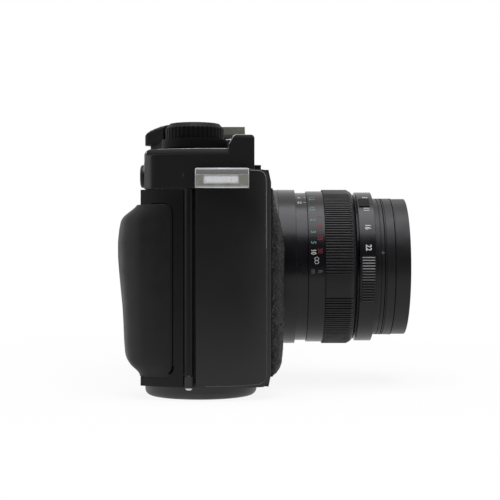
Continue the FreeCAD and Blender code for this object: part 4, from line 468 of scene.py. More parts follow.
def join_rings(shape, rings):
    """Faces from each ring of vertices to the next. A ring may be one vertex, repeated."""
    for first, second in zip(rings, rings[1:]):
        for index in range(len(first)):
            following = (index + 1) % len(first)
            corners = [first[index], first[following], second[following], second[index]]
            shape.faces.new(list(dict.fromkeys(corners)))


def add_tube(shape, rings):
    """A closed solid through rings of vertices."""
    shape.faces.new(rings[0])
    shape.faces.new(list(reversed(rings[-1])))
    join_rings(shape, rings)


def add_prism(shape, outline, place):
    """A closed solid from a flat outline: place turns (across, up, depth 0 or 1) into a point."""
    add_tube(shape, [[shape.verts.new(place(across, up, depth)) for across, up in outline]
                     for depth in (0, 1)])


def rounded_rectangle(low_x, low_y, high_x, high_y, radius, steps=5):
    """Outline of a rectangle with round corners, counterclockwise."""
    points = []
    corners = [(high_x - radius, high_y - radius, 0), (low_x + radius, high_y - radius, 90),
               (low_x + radius, low_y + radius, 180), (high_x - radius, low_y + radius, 270)]
    for centre_x, centre_y, start in corners:
        for step in range(steps + 1):
            angle = math.radians(start + 90 * step / steps)
            points.append((centre_x + radius * math.cos(angle), centre_y + radius * math.sin(angle)))
    return points


def add_lathe(shape, outline, centre, top, steps):
    """A closed turned solid about a vertical line through centre. The outline runs from the axis out
    and back to the axis, as radius and depth below top in mm."""
    rings = []
    for radius, depth in outline:
        height = top - depth * MM
        if radius == 0:
            rings.append([shape.verts.new((centre[0], centre[1], height))] * steps)
        else:
            rings.append([shape.verts.new((centre[0] + radius * MM * math.cos(turn),
                                           centre[1] + radius * MM * math.sin(turn), height))
                          for turn in turns(steps)])
    join_rings(shape, rings)


def box_centre(node):
    """The middle of a node's box, seen from above."""
    low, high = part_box(node)
    return (low[0] + high[0]) / 2, (low[1] + high[1]) / 2


# Lettering: plain numbers on the rings and dials

LENS_HEIGHT = (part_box("filter_ring")[0][2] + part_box("filter_ring")[1][2]) / 2
PAINT_THICKNESS = 0.03 * MM
CHARACTER_HEIGHT = 0.72
CHARACTER_WIDTH = 0.82
STROKE_GAIN = 0.022
TOP_ANGLE = 90


def ring_radius(node):
    """Half of a ring's height."""
    low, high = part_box(node)
    return (high[2] - low[2]) / 2


def text_mesh(words, height):
    """A flat mesh of some characters, height metres tall, centred on the origin."""
    curve = bpy.data.curves.new("words", "FONT")
    curve.body = words
    curve.align_x = "CENTER"
    curve.align_y = "CENTER"
    curve.resolution_u = 3
    curve.offset = STROKE_GAIN
    holder = show("words", curve)
    bpy.context.view_layer.update()
    mesh = bpy.data.meshes.new_from_object(holder.evaluated_get(bpy.context.evaluated_depsgraph_get()))
    bpy.data.objects.remove(holder)
    size = height / CHARACTER_HEIGHT
    mesh.transform(Matrix.Diagonal((size * CHARACTER_WIDTH, size, size, 1)))
    return mesh


def flat_mark(width, length):
    """A flat bar, width across and length up, centred on the origin."""
    mesh = bpy.data.meshes.new("mark")
    x = width / 2
    y = length / 2
    mesh.from_pydata([(-x, -y, 0), (x, -y, 0), (x, y, 0), (-x, y, 0)], [], [(0, 1, 2, 3)])
    return mesh


def ring_piece(name, body, material, radius, entries):
    """One piece of flat meshes, wrapped on a ring of the lens. An entry is mesh, angle above the grip side,
    and the y of its middle. Characters read downward with their tops towards the front."""
    shape = bmesh.new()
    out = radius + PAINT_THICKNESS
    for mesh, angle, along in entries:
        first = len(shape.verts)
        shape.from_mesh(mesh)
        bpy.data.meshes.remove(mesh)
        shape.verts.ensure_lookup_table()
        for vertex in shape.verts[first:]:
            turn = math.radians(angle) - vertex.co.x / radius
            height = LENS_HEIGHT + out * math.sin(turn)
            vertex.co = Vector((-out * math.cos(turn), along - vertex.co.y, height))
    finish_piece(name, shape, body, material)


def ring_words(name, body, material, radius, along, height, entries):
    """All of a ring's characters of one colour. An entry is words and angle."""
    ring_piece(name, body, material, radius,
               [(text_mesh(words, height), angle, along) for words, angle in entries])


def ring_marks(name, body, material, radius, entries):
    """Lines along the lens. An entry is angle, along, width and length."""
    ring_piece(name, body, material, radius,
               [(flat_mark(width, length), angle, along) for angle, along, width, length in entries])


WHITE_PAINT = paint_mark("white_paint", (0.5, 0.51, 0.48))
GREEN_PAINT = paint_mark("green_paint", (0.11, 0.24, 0.18))
RED_PAINT = paint_mark("red_paint", (0.16, 0.012, 0.016))
DIM_PAINT = paint_mark("dim_paint", (0.09, 0.09, 0.09))

SCALE_RADIUS = ring_radius("distance_scale_ring")
APERTURE_RADIUS = ring_radius("aperture_ring")

METRE_ROW = -47.8 * MM
METRE_SIZE = 2.2 * MM
FEET_ROW = -50.7 * MM

# Words and their angles above the grip side
NEAR_METRES = [("1", 80), ("1.2", 62), ("1.5", 48.5), ("2", 37), ("3", 26.6), ("5", 18.2)]
FAR_METRES = [("10", 11.3)]
FEET = [("3", 86), ("4", 66), ("5", 50), ("7", 40), ("10", 31.4), ("15", 21.8), ("30", 12)]
STOPS = [("22", 14.6), ("16", 31.3), ("11", 48.7), ("8", 66.1), ("5.6", 83.5), ("4", 100.9)]
# Stops and their angles from the top, on both sides
DEPTH_STOPS = [("22", 32), ("16", 23), ("8", 12)]

ring_words("near_metres", "focus", GREEN_PAINT, SCALE_RADIUS, METRE_ROW, METRE_SIZE, NEAR_METRES)
ring_words("far_metres", "focus", WHITE_PAINT, SCALE_RADIUS, METRE_ROW, METRE_SIZE, FAR_METRES)
ring_words("feet_numbers", "focus", RED_PAINT, SCALE_RADIUS, FEET_ROW, height=2.1 * MM, entries=FEET)
ring_words("metre_unit", "focus", DIM_PAINT, SCALE_RADIUS, METRE_ROW, METRE_SIZE, [("m", -2.9)])
ring_words("feet_unit", "focus", DIM_PAINT, SCALE_RADIUS, FEET_ROW, height=2 * MM, entries=[("ft", -3)])
ring_words("stop_numbers", "aperture", WHITE_PAINT, APERTURE_RADIUS, along=-71.6 * MM, height=2.5 * MM,
           entries=STOPS)


def flat_loop(middle, radius, stroke):
    """A flat ring, a little longer than wide."""
    steps = 18
    width = 0.95
    length = 1.1
    points = []
    faces = []
    for step, turn in enumerate(turns(steps)):
        for reach in (radius - stroke / 2, radius + stroke / 2):
            points.append((middle + reach * math.cos(turn) * width, reach * math.sin(turn) * length, 0))
        following = (step + 1) % steps
        faces.append((2 * step, 2 * step + 1, 2 * following + 1, 2 * following))
    mesh = bpy.data.meshes.new("loop")
    mesh.from_pydata(points, [], faces)
    return mesh


def make_infinity_sign():
    """The sign for infinity: two touching rings, one after the other round the lens."""
    radius = 0.76 * MM
    stroke = 0.22 * MM
    angle = 5.0
    along = -49.2 * MM
    touching = 0.92
    loops = [(flat_loop(side * radius * touching, radius, stroke), angle, along) for side in (-1, 1)]
    ring_piece("infinity_sign", "focus", WHITE_PAINT, SCALE_RADIUS, loops)


def make_depth_scale():
    """Lines and plain stop numbers on both sides of the index on top of the lens."""
    radius = ring_radius("depth_scale_ring")
    words = [(stop, TOP_ANGLE + side * angle) for stop, angle in DEPTH_STOPS for side in (-1, 1)]
    ring_words("depth_numbers", "camera_body", WHITE_PAINT, radius, along=-42.4 * MM, height=1.7 * MM,
               entries=words)
    lines = [(TOP_ANGLE, -44.4 * MM, 0.4 * MM, 2.2 * MM)]
    lines += [(angle, -44.8 * MM, 0.22 * MM, 1.3 * MM) for _, angle in words]
    ring_marks("depth_lines", "camera_body", WHITE_PAINT, radius, lines)


def make_barrel_marks():
    """A faint arrow and the index line of the stops."""
    radius = ring_radius("front_barrel")
    ring_words("barrel_mark", "camera_body", DIM_PAINT, radius, along=-78.2 * MM, height=1.3 * MM,
               entries=[("▲", 11.8)])
    ring_marks("stop_index", "camera_body", WHITE_PAINT, radius,
               [(TOP_ANGLE, -76.2 * MM, 0.4 * MM, 1.4 * MM)])


make_infinity_sign()
make_depth_scale()
make_barrel_marks()


# Sculpted pieces that stand for plain solids

def add_grid(shape, rows):
    """A sheet of faces over rows of points, and its vertices."""
    corners = [[shape.verts.new(point) for point in row] for row in rows]
    for upper, lower in zip(corners, corners[1:]):
        for index in range(len(upper) - 1):
            shape.faces.new([upper[index], upper[index + 1], lower[index + 1], lower[index]])
    return corners


def border(corners):
    """The vertices round a sheet."""
    left = [row[0] for row in corners[1:-1]]
    right = [row[-1] for row in corners[1:-1]]
    return corners[0] + right + list(reversed(corners[-1])) + list(reversed(left))


def add_slab(shape, rows):
    """A closed body between two sheets, with a sharp edge round the outer one. A row has pairs of an
    outer and an inner point."""
    upper = border(add_grid(shape, [[outer for outer, _ in row] for row in rows]))
    lower = border(add_grid(shape, [[inner for _, inner in row] for row in rows]))
    join_rings(shape, [upper, lower])
    for first, second in zip(upper, upper[1:] + upper[:1]):
        shape.edges.get((first, second)).smooth = False


def smooth_curve(points, count):
    """Count points along a smooth curve through the given points, evenly by parameter."""
    size = len(points) - 1
    result = []
    for step in range(count):
        position = size * step / (count - 1)
        index = min(int(position), size - 1)
        part = position - index
        before = points[max(index - 1, 0)]
        first = points[index]
        second = points[index + 1]
        after = points[min(index + 2, size)]
        place = []
        for a, b, c, d in zip(before, first, second, after):
            place.append(0.5 * (2 * b + (c - a) * part + (2 * a - 5 * b + 4 * c - d) * part ** 2
                                + (3 * b - a - 3 * c + d) * part ** 3))
        result.append(tuple(place))
    return result


def crest_at(profile, height):
    """Linear value of a profile of (height, value) pairs."""
    for (low, first), (high, second) in zip(profile, profile[1:]):
        if low <= height <= high:
            return first + (second - first) * (height - low) / (high - low)
    return profile[0][1] if height < profile[0][0] else profile[-1][1]


# The thumb rest's crest, as height above the base and distance behind the lens axis plane, in mm
THUMB_CREST = [(9.3, 23.9), (11, 23.95), (11.4, 25.6), (12.6, 27.9), (14.6, 29.7), (17, 30.8),
               (22.8, 31.3), (30, 31.6), (37, 32), (44, 32.7), (50, 33.3), (57, 33.85),
               (63.5, 33.9), (69, 33.3), (73, 32.4), (75.5, 29.6), (78.3, 25)]
# Its plan where it is highest, and the door's own surface below it, as (x, y) in mm
THUMB_FULL = [(-73.5, 10.9), (-73.6, 14.5), (-73, 19), (-70.8, 25), (-66.2, 30.4), (-60, 33.2),
              (-54.5, 33.9), (-49, 32.6), (-43.5, 28.6), (-40, 25.4), (-36.8, 23.9)]
DOOR_BACK = 23.9
THUMB_BASE = [(-73.5, 10.9), (-72.9, 14.5), (-71.5, 18), (-69.4, 21.8)]
THUMB_BASE += [(x, DOOR_BACK) for x, _ in THUMB_FULL[4:]]
THUMB_LOW = 9.3
THUMB_HIGH = 78.3


def make_thumb_rest():
    """Moulded rubber rest on the door: a swelling crest that follows the door's round end."""
    columns = 56
    lines = 92
    sunk = (1.2, 0.9)
    full = smooth_curve(THUMB_FULL, columns)
    base = smooth_curve(THUMB_BASE, columns)
    top_reach = max(value for _, value in THUMB_CREST)
    rows = []
    for line in range(lines):
        height = THUMB_LOW + (THUMB_HIGH - THUMB_LOW) * line / (lines - 1)
        samples = [crest_at(THUMB_CREST, height + shift) for shift in (-1.2, -0.6, 0, 0.6, 1.2)]
        share = (sum(samples) / len(samples) - DOOR_BACK) / (top_reach - DOOR_BACK)
        row = []
        for (full_x, full_y), (base_x, base_y) in zip(full, base):
            x = base_x + (full_x - base_x) * share
            y = base_y + (full_y - base_y) * share
            inner = ((base_x + sunk[0]) * MM, (base_y - sunk[1]) * MM, height * MM)
            row.append(((x * MM, y * MM, height * MM), inner))
        rows.append(row)
    shape = bmesh.new()
    add_slab(shape, rows)
    piece = finish_piece("thumb_rest_rubber", shape, "film_door",
                         SLOT_MATERIALS["grip_rubber"], smooth=True)
    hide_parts("thumb_rest")


make_thumb_rest()


# Painted shade in the seams and painted highlights on the edges: beads that lie on the solids

OUTSIDE_END = -0.1
ABOVE_TOP = 0.13


def add_bead(shape, points, radius):
    """A round bead along points, closed at both ends."""
    across = Vector((1, 0.01, 0.02))
    sides = 8
    rings = []
    for index, point in enumerate(points):
        before = Vector(points[max(index - 1, 0)])
        after = Vector(points[min(index + 1, len(points) - 1)])
        run = (after - before).normalized()
        side = run.cross(across).normalized()
        up = run.cross(side)
        spokes = [side * math.cos(turn) + up * math.sin(turn) for turn in turns(sides)]
        rings.append([shape.verts.new(Vector(point) + spoke * radius) for spoke in spokes])
    add_tube(shape, rings)


def on_end(nodes, y, z, sink):
    """The outermost point of the nodes on the grip end, at y and z in millimetres."""
    start = Vector((OUTSIDE_END, y * MM, z * MM))
    best = None
    for name in nodes:
        found, place, _, _ = frame["nodes"][name].ray_cast(start, Vector((1, 0, 0)))
        if found and (best is None or place.x < best):
            best = place.x
    return None if best is None else (best + sink * MM, y * MM, z * MM)


def height_at(piece, x, y):
    """Height of a piece's top at x and y in millimetres."""
    found, place, _, _ = piece.ray_cast(Vector((x * MM, y * MM, ABOVE_TOP)), Vector((0, 0, -1)))
    return place.z if found else None


def end_bead(name, place, material, radius, sink, path):
    """A bead that follows the grip end's surface along a path of (y, z)."""
    body, node, slot = place
    spacing = 0.6
    points = []
    for (y0, z0), (y1, z1) in zip(path, path[1:]):
        steps = max(1, int(math.hypot(y1 - y0, z1 - z0) / spacing))
        for step in range(steps):
            point = on_end([node], y0 + (y1 - y0) * step / steps, z0 + (z1 - z0) * step / steps, sink)
            if point:
                points.append(point)
    shape = bmesh.new()
    add_bead(shape, points, radius * MM)
    finish_piece(name, shape, body, material, smooth=True)


# Painted shade: black beads laid in the seams between parts
PAINTED_GAP_SHADE = painted_gap_shade()
# Painted highlights: grey beads, bright and faint, that stand for light caught on rounded edges
PAINTED_HIGHLIGHT_EDGE = surface("painted_highlight_edge", colour=(0.3, 0.3, 0.3), roughness=0.25, metallic=0.5,
                    grain=0.5, grain_depth=0.006, patch=5, variation=0.5)
FAINT_PAINTED_HIGHLIGHT = surface("faint_painted_highlight", colour=(0.045, 0.045, 0.046), roughness=0.35, grain=0.5,
                     grain_depth=0.006, patch=5, variation=0.5)

DOOR = ("film_door", "back_door", "grip_rubber")
PANEL = ("camera_body", "right_end_cover", "black_body_paint")
COVER = ("camera_body", "top_cover", "black_body_paint")
# Name, body with node and slot, material, radius, depth that it is sunk by, and path as (y, z), in mm
END_BEADS = [
    ("thumb_rest_seam", DOOR, PAINTED_GAP_SHADE, 0.24, 0.08,
     [(19, 78.6), (13.2, 78.6), (11.3, 77.7), (10.3, 75.8), (10.2, 70), (10.2, 13.2)]),
    ("thumb_rest_low_seam", DOOR, PAINTED_GAP_SHADE, 0.4, -0.28,
     [(10.2, 14), (10.4, 12.4), (11.3, 11.1), (13, 10.5), (16, 10.4), (19, 10.4), (21.5, 10.5)]),
    ("hinge_seam", DOOR, PAINTED_GAP_SHADE, 0.22, 0.08, [(5.75, 84), (5.75, 6)]),
    ("panel_painted_highlight", PANEL, PAINTED_HIGHLIGHT_EDGE, 0.13, 0,
     [(-20.4, 91.9), (-24.6, 91.8), (-26, 91.1), (-26.8, 89.6), (-27, 87), (-27, 60)]),
    ("panel_low_painted_highlight", PANEL, FAINT_PAINTED_HIGHLIGHT, 0.16, 0,
     [(-27, 60), (-27, 9.5), (-26.3, 7.6), (-24.4, 6.5), (-18, 6.1), (-2, 6)]),
    ("cover_back_edge", COVER, PAINTED_HIGHLIGHT_EDGE, 0.3, 0.12,
     [(21, 99.6), (21.7, 95), (22, 90), (22.1, 86)]),
]


def make_deck_line():
    """A painted highlight: a bright line along the top cover's upper edge, up the step to the front
    platform.
    """
    back_y = 18.5
    spacing = 0.4
    steps = 97
    deck_x = -66.0
    outside_x = -76
    search_step = 0.1
    search_steps = 60
    rounding = 0.25 * MM
    sink = 0.06 * MM
    radius = 0.2 * MM
    points = []
    cover = frame["nodes"]["top_cover"]
    for step in range(steps):
        y = back_y - spacing * step
        deck = height_at(cover, deck_x, y)
        if deck is None:
            continue
        for inward in range(search_steps):
            x = outside_x + search_step * inward
            height = height_at(cover, x, y)
            if height is not None and height >= deck - rounding:
                points.append((x * MM, y * MM, height - sink))
                break
    shape = bmesh.new()
    add_bead(shape, points, radius)
    finish_piece("deck_painted_highlight", shape, "camera_body", PAINTED_HIGHLIGHT_EDGE, smooth=True)


for bead in END_BEADS:
    end_bead(*bead)
make_deck_line()


# The grip's leatherette, with real relief

# Height above the base and depth in front of the plate, in mm
GRIP_CREST = [(9, 0.5), (10.2, 2.2), (12, 3.5), (14.5, 4.3), (20, 4.8), (35, 5.2), (60, 5.35),
              (66, 4.9), (72, 3.6), (78, 2), (82, 1.1), (85, 0.6)]
GRIP_OUT = -67
GRIP_IN = -37.5
GRIP_LOW = 9
GRIP_HIGH = 85
GRIP_CELL = 0.32


def bumps(point):
    """Leather relief from about -1 to 1: wrinkles that run into each other."""
    size = 1.5
    shift = Vector((7, 3, 5))
    wrinkle_share = 2.2
    pebble_share = 1.1
    pebble_ratio = 1.9
    wrinkle = abs(mathnoise.noise(point * (1 / size)))
    pebble = abs(mathnoise.noise(point * (pebble_ratio / size) + shift))
    return 1 - wrinkle_share * wrinkle - pebble_share * pebble


def side_rise(distance, reach):
    """From 0 at the edge to 1 at reach, as a quarter round."""
    part = min(1, max(0, distance / reach))
    return math.sqrt(1 - (1 - part) ** 2)


def grip_depth(x, z):
    """Depth of the grip in front of the plate, without its relief."""
    edge = 0.5
    skin = 0.55
    crest = crest_at(GRIP_CREST, z) - edge
    return skin + crest * side_rise(x - GRIP_OUT, reach=7.5) * side_rise(GRIP_IN - x, reach=10)


def make_grip_leather():
    """The wrinkled cladding of the grip, on the front plate."""
    relief = 0.3
    margin = 0.8
    thinnest = 0.25
    sunk = 0.1
    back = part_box("front_cover")[0][1]
    columns = int((GRIP_IN - GRIP_OUT) / GRIP_CELL)
    lines = int((GRIP_HIGH - GRIP_LOW) / GRIP_CELL)
    rows = []
    for line in range(lines + 1):
        z = GRIP_LOW + (GRIP_HIGH - GRIP_LOW) * line / lines
        row = []
        for column in range(columns + 1):
            x = GRIP_OUT + (GRIP_IN - GRIP_OUT) * column / columns
            depth = grip_depth(x, z)
            fade = min(1, min(x - GRIP_OUT, GRIP_IN - x, z - GRIP_LOW, GRIP_HIGH - z) / margin)
            depth += relief * bumps(Vector((x, depth, z))) * fade
            outer = (x * MM, back - max(depth, thinnest) * MM, z * MM)
            row.append((outer, (x * MM, back + sunk * MM, z * MM)))
        rows.append(row)
    shape = bmesh.new()
    add_slab(shape, rows)
    piece = finish_piece("grip_leather", shape, "camera_body", SLOT_MATERIALS["leatherette"],
                         smooth=True)
    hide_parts("front_grip")


make_grip_leather()


# Lugs: a window bottom painted bright as a reflection, painted highlight lines along the edges and a facet
# painted darker as shade

# A painted reflection: near-white metal for the lug windows, the lug lines and the hinge head
PAINTED_REFLECTION_METAL = painted_reflection_plate()
# A darker copy of the lug metal: painted shade on the upper facet
FACET_PAINTED_SHADE = surface("facet_painted_shade", colour=(0.09, 0.09, 0.088), roughness=0.55, metallic=0.2,
                      specular=0.3, grain=0.3, grain_depth=0.03, patch=0.9, variation=0.6, edge=0.1 * MM)


def lug_frame(side, name):
    """The lug's box, and how far out its face lies."""
    low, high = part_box("strap_lug_" + name)
    return low, high, high[0] if side > 0 else -low[0]


def make_lug_plate(side, name):
    """The bottom of the window, behind the strap bar, painted bright as a reflection."""
    face = lug_frame(side, name)[2]
    bottom = 0.6
    thickness = 0.35
    outline = rounded_rectangle(-15.9 * MM, 86.6 * MM, -2.5 * MM, 89.3 * MM, radius=0.5 * MM)
    shape = bmesh.new()

    def place(across, up, depth):
        return side * (face - (bottom - thickness * depth) * MM), across, up

    add_prism(shape, outline, place)
    finish_piece("lug_plate_" + name, shape, "camera_body", PAINTED_REFLECTION_METAL)


def make_lug_lines(side, name):
    """Beads along the lug's top, facet and lower edges, painted bright as highlights on the polished edges.
    """
    low, high, face = lug_frame(side, name)
    lines = [(face - 1.35 * MM, high[2] - 0.12 * MM), (face - 0.3 * MM, 89.8 * MM),
             (face - 0.5 * MM, low[2] + 0.25 * MM)]
    radius = 0.26 * MM
    inset = 0.5 * MM
    sides = 12
    ends = (low[1] + inset, high[1] - inset)
    shape = bmesh.new()
    for out, height in lines:
        add_tube(shape, [[shape.verts.new((side * (out + radius * math.cos(turn)), along,
                                           height + radius * math.sin(turn)))
                          for turn in turns(sides)] for along in ends])
    finish_piece("lug_lines_" + name, shape, "camera_body", PAINTED_REFLECTION_METAL, smooth=True)


def make_lug_facet(side, name):
    """The upper facet between the two upper lines, painted darker as shade."""
    low, high, face = lug_frame(side, name)
    start = 0.4
    length = 20.4
    outline = [(face - 0.05 * MM, 90.1 * MM), (face - 1.1 * MM, high[2] - 0.25 * MM),
               (face - 1.5 * MM, high[2] - 0.35 * MM), (face - 0.5 * MM, 90.05 * MM)]
    shape = bmesh.new()

    def place(across, up, depth):
        return side * across, low[1] + (start + depth * length) * MM, up

    add_prism(shape, outline, place)
    finish_piece("lug_facet_" + name, shape, "camera_body", FACET_PAINTED_SHADE)


for lug_side, lug_name in ((-1, "right"), (1, "left")):
    make_lug_plate(lug_side, lug_name)
    make_lug_lines(lug_side, lug_name)
    make_lug_facet(lug_side, lug_name)


# Dial cap and head of the hinge pin

DIAL_CENTRE = box_centre("shutter_dial")
DIAL_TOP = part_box("shutter_dial")[1][2]
CAP_OUTLINE = [(0, 0.9), (8.0, 0.9), (8.2, 0.35), (5.2, 0.3), (4.8, 0.4), (4.3, 0.4), (3.9, 0.1),
               (1.8, 0.05), (0, 0.02)]
SPEEDS = ["B", "1", "2", "4", "8", "15", "30", "60", "125", "250", "500"]
HEAD_OUTLINE = [(0, 0), (1.3, 0), (1.45, 0.35), (1.3, 0.8), (0.8, 1.15), (0, 1.25)]


def make_dial_cap():
    """A low cap in the dial's dish."""
    shape = bmesh.new()
    add_lathe(shape, CAP_OUTLINE, DIAL_CENTRE, DIAL_TOP, steps=72)
    finish_piece("dial_cap", shape, "dial", DIAL_BLACK, smooth=True)


def make_speed_numbers():
    """Plain numbers round the cap, with their tops outward."""
    depth = 0.26 * MM
    radius = 6.6 * MM
    first_angle = 180
    spacing = 28
    shape = bmesh.new()
    middle = Matrix.Translation((*DIAL_CENTRE, DIAL_TOP - depth))
    for index, words in enumerate(SPEEDS):
        mesh = text_mesh(words, height=1.5 * MM)
        angle = math.radians(first_angle - spacing * index)
        turn = Matrix.Rotation(angle - math.pi / 2, 4, "Z")
        mesh.transform(middle @ turn @ Matrix.Translation((0, radius, 0)))
        shape.from_mesh(mesh)
        bpy.data.meshes.remove(mesh)
    finish_piece("speed_numbers", shape, "dial", WHITE_PAINT)


def make_hinge_head():
    """Rounded head of the hinge pin under its lug, painted bright as a reflection."""
    shape = bmesh.new()
    sunk = 0.3 * MM
    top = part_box("hinge_pin")[0][2] + sunk
    add_lathe(shape, HEAD_OUTLINE, box_centre("hinge_pin"), top, steps=28)
    finish_piece("hinge_pin_head", shape, "camera_body", PAINTED_REFLECTION_METAL, smooth=True)


make_dial_cap()
make_speed_numbers()
make_hinge_head()


# Ridges, tab and joints at the front of the lens, with angles above the grip side

# Name, tone and count of the ridges, from the top down. The tones are a painted highlight, lightest on the
# upper ridges and dark below.
RIDGES = [("ridge_painted_highlight", 0.24, 5), ("ridge_painted_half_highlight", 0.1, 4), ("ridge_dark", 0.025, 8)]
RIDGE_FIRST = 7.2
RIDGE_STEP = 2.05
RIDGE_REAR = -68.9 * MM


def outward(angle):
    """Direction away from the lens axis at an angle."""
    turn = math.radians(angle)
    return Vector((-math.cos(turn), 0, math.sin(turn)))


def add_ring_block(shape, start, stop, rear, front, height, steps):
    """A curved block on the aperture ring from start to stop degrees."""
    sunk = 0.3 * MM
    rows = []
    for step in range(steps + 1):
        direction = outward(start + (stop - start) * step / steps)
        top = direction * (APERTURE_RADIUS + height)
        low = direction * (APERTURE_RADIUS - sunk)
        rows.append([((top.x, along, LENS_HEIGHT + top.z), (low.x, along, LENS_HEIGHT + low.z))
                     for along in (rear, front)])
    add_slab(shape, rows)


def make_aperture_ridges():
    """Square ridges over a smooth ground in the ring's knurled patch; their tones are a painted highlight,
    lightest on the upper ridges.
    """
    shape = bmesh.new()
    add_ring_block(shape, start=RIDGE_FIRST + 1.2, stop=RIDGE_FIRST - 33.6, rear=RIDGE_REAR,
                   front=-74.3 * MM, height=0.04 * MM, steps=24)
    finish_piece("knurl_ground", shape, "aperture", DIAL_BLACK)
    half = 0.4
    angle = RIDGE_FIRST
    for name, tone, count in RIDGES:
        # Each group's tone is painted light: the lighter groups stand for the highlight on the upper ridges
        material = surface(name, colour=(tone, tone, tone), roughness=0.4, specular=0.4, grain=0.3,
                           grain_depth=0.003, patch=2, variation=0.3)
        shape = bmesh.new()
        for _ in range(count):
            add_ring_block(shape, angle + half, angle - half, RIDGE_REAR,
                           front=-74.4 * MM, height=0.22 * MM, steps=1)
            angle -= RIDGE_STEP
        finish_piece(name + "_bars", shape, "aperture", material)


def make_aperture_tab():
    """A raised black tab on the aperture ring."""
    shape = bmesh.new()
    add_ring_block(shape, start=62.5, stop=51.5, rear=-68.6 * MM, front=-73.2 * MM, height=0.45 * MM,
                   steps=8)
    finish_piece("aperture_tab", shape, "aperture", DIAL_BLACK)


def make_barrel_lines():
    """Painted shade in the joints between the rings at the front of the lens."""
    steps = 96
    sunk = 0.14 * MM
    shape = bmesh.new()
    for along in (-79.1, -83.7):
        reach = -on_end(["front_barrel", "filter_ring"], along, LENS_HEIGHT / MM, sink=0)[0]
        points = []
        for step in range(steps + 1):
            point = outward(360 * step / steps) * (reach - sunk)
            points.append((point.x, along * MM, LENS_HEIGHT + point.z))
        add_bead(shape, points, radius=0.24 * MM)
    finish_piece("barrel_joints", shape, "camera_body", PAINTED_GAP_SHADE, smooth=True)


make_aperture_ridges()
make_aperture_tab()
make_barrel_lines()


# Lever pad, in mm: distances along the lever run from the dial's axis

LEVER_ANGLE = math.radians(47.6)
PAD_START = 13.2
PAD_REACH = 27.4
PAD_LOW = 104.2
PAD_CROWN = 112.2
PAD_HALF = 4.9
PAD_NOSE = 1.6


def pad_height(along, side):
    """Height of the pad's upper face: side runs from -1 to 1 across it."""
    slope = 3.0
    camber = 1.5
    ridge = 0.16
    ridge_spacing = 1.7
    ridges = (16, 24)
    slope_power = 1.5
    part = (along - PAD_START) / (PAD_REACH - PAD_START)
    height = PAD_CROWN - slope * part ** slope_power - camber * abs(side) ** 4
    if ridges[0] < along < ridges[1]:
        height += ridge * math.sin(along * 2 * math.pi / ridge_spacing) * (1 - side ** 4)
    if along > PAD_REACH - PAD_NOSE:
        height -= PAD_NOSE * ((along - PAD_REACH + PAD_NOSE) / PAD_NOSE) ** 2
    return height


def make_lever_pad():
    """Moulded plastic tip over the lever's end: it slopes down towards the thumb and has soft ridges."""
    lengths = 30
    widths = 18
    round_from = 22.6
    tip = 0.02
    rows = []
    for along_step in range(lengths + 1):
        along = PAD_START + (PAD_REACH - PAD_START) * along_step / lengths
        rounding = max(0, (along - round_from) / PAD_HALF) ** 2
        half = PAD_HALF * math.sqrt(max(tip, 1 - rounding))
        row = []
        for width_step in range(widths + 1):
            side = -1 + 2 * width_step / widths
            x = along * math.cos(LEVER_ANGLE) - side * half * math.sin(LEVER_ANGLE)
            y = along * math.sin(LEVER_ANGLE) + side * half * math.cos(LEVER_ANGLE)
            place = (DIAL_CENTRE[0] + x * MM, DIAL_CENTRE[1] + y * MM)
            row.append(((*place, pad_height(along, side) * MM), (*place, PAD_LOW * MM)))
        rows.append(row)
    shape = bmesh.new()
    add_slab(shape, rows)
    finish_piece("lever_pad", shape, "lever", DIAL_BLACK, smooth=True)


make_lever_pad()


# Floor, light and camera

WHITE = (1, 1, 1, 1)


def stage_plane(name, corners, material):
    shape = bmesh.new()
    shape.faces.new([shape.verts.new(corner) for corner in corners])
    plane = show_shape(name, shape, material)
    return plane


def empty_tree(owner):
    """The cleared node tree of a material or a world."""
    owner.use_nodes = True
    owner.node_tree.nodes.clear()
    return owner.node_tree


def seen_rays(tree):
    """1 for camera, glossy and transmission rays."""
    path = add_node(tree, "LightPath")
    first = joined("MAXIMUM", path, "Is Camera Ray", path, "Is Glossy Ray")
    return joined("MAXIMUM", first, "Value", path, "Is Transmission Ray")


def add_mix(tree, share, first, first_output, second, second_output, target):
    """Mixes two shaders by share and joins the result to the target's surface."""
    mix = add_node(tree, "MixShader")
    link(share, "Value", mix, 0)
    link(first, first_output, mix, 1)
    link(second, second_output, mix, 2)
    link(mix, "Shader", target, "Surface")


def floor_share(tree):
    """How much of the floor's own white is seen: all of it away from the object, less near it,
    so that the object's soft shadow stays on the floor."""
    distance = add_node(tree, "VectorMath")
    distance.operation = "LENGTH"
    link(add_node(tree, "TexCoord"), "Object", distance, 0)
    fade = spread(distance, "Value", low=0.9, high=1, start=0.13, end=0.34)
    return joined("MULTIPLY", seen_rays(tree), "Value", fade, "Result")


def floor_material():
    """White paper that mostly shows its own white, so that a soft shadow of the object stays on it."""
    material = bpy.data.materials.new("floor_paper")
    tree = empty_tree(material)
    output = add_node(tree, "OutputMaterial")
    paper = add_node(tree, "BsdfDiffuse", {"Color": (0.88, 0.88, 0.88, 1)})
    white = add_node(tree, "Emission", {"Color": WHITE, "Strength": 1})
    add_mix(tree, floor_share(tree), paper, "BSDF", white, "Emission", output)
    return material


def flag_material():
    material = bpy.data.materials.new("dark_flag")
    material.use_nodes = True
    shader = material.node_tree.nodes["Principled BSDF"]
    shader.inputs["Base Color"].default_value = (0.01, 0.01, 0.01, 1)
    shader.inputs["Roughness"].default_value = 0.9
    return material


def make_floor():
    half = 4.0
    stage_plane("floor", [(-half, -half, 0), (half, -half, 0), (half, half, 0), (-half, half, 0)],
                floor_material())


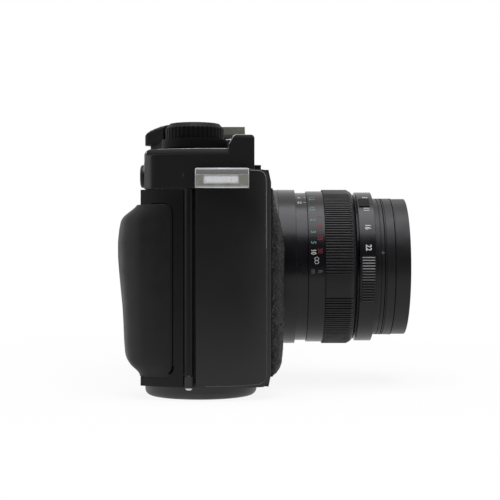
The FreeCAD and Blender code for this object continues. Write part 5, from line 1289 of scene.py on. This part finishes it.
def make_flags():
    """Two dark boards on the camera's side, one upright and one on the table. They keep the black
    finishes black, as the dark side of a studio does. Only reflections show them."""
    far = -1.0
    near = -0.26
    side = 1.5
    top = 2.0
    foot = 0.02
    lift = 0.002
    upright = [(far, -side, foot), (far, side, foot), (far, side, top), (far, -side, top)]
    level = [(far, -side, lift), (near, -side, lift), (near, side, lift), (far, side, lift)]
    material = flag_material()
    for name, corners in (("upright_flag", upright), ("level_flag", level)):
        flag = stage_plane(name, corners, material)
        flag.visible_camera = False
        flag.visible_diffuse = False
        flag.visible_shadow = False


def make_world():
    """Soft light from all round. What the camera sees of it is plain white."""
    world = bpy.data.worlds.new("studio")
    studio.world = world
    tree = empty_tree(world)
    output = add_node(tree, "OutputWorld")
    soft = add_node(tree, "Background", {"Color": WHITE, "Strength": 0.45})
    white = add_node(tree, "Background", {"Color": WHITE, "Strength": 1})
    add_mix(tree, seen_rays(tree), soft, "Background", white, "Background", output)


def make_lamp(name, place, target, width, length, radiance, colour):
    """An area lamp whose face has that radiance, aimed at target."""
    lamp = bpy.data.lights.new(name, "AREA")
    lamp.shape = "RECTANGLE"
    lamp.size = width
    lamp.size_y = length
    lamp.energy = radiance * math.pi * width * length
    lamp.color = colour
    holder = show(name, lamp)
    holder.location = place
    direction = Vector(target) - Vector(place)
    holder.rotation_euler = direction.to_track_quat("-Z", "Y").to_euler()


def make_camera():
    """Square-on to the grip end, from the distance that the photograph's perspective shows."""
    camera = bpy.data.cameras.new("camera")
    camera.sensor_width = 36.0
    camera.lens = 88.1
    camera.clip_start = 0.01
    camera.clip_end = 50
    holder = show("camera", camera)
    holder.location = (-0.560, -0.0205, 0.0601)
    holder.rotation_euler = (math.radians(90), 0, math.radians(-90))
    studio.camera = holder


make_world()
make_floor()
make_flags()
make_lamp("softbox", place=(-0.22, -0.03, 0.85), target=(0, -0.03, 0.05), width=0.6, length=0.8,
          radiance=4.2, colour=(0.97, 0.96, 1.0))
make_camera()
studio.view_settings.view_transform = "Standard"
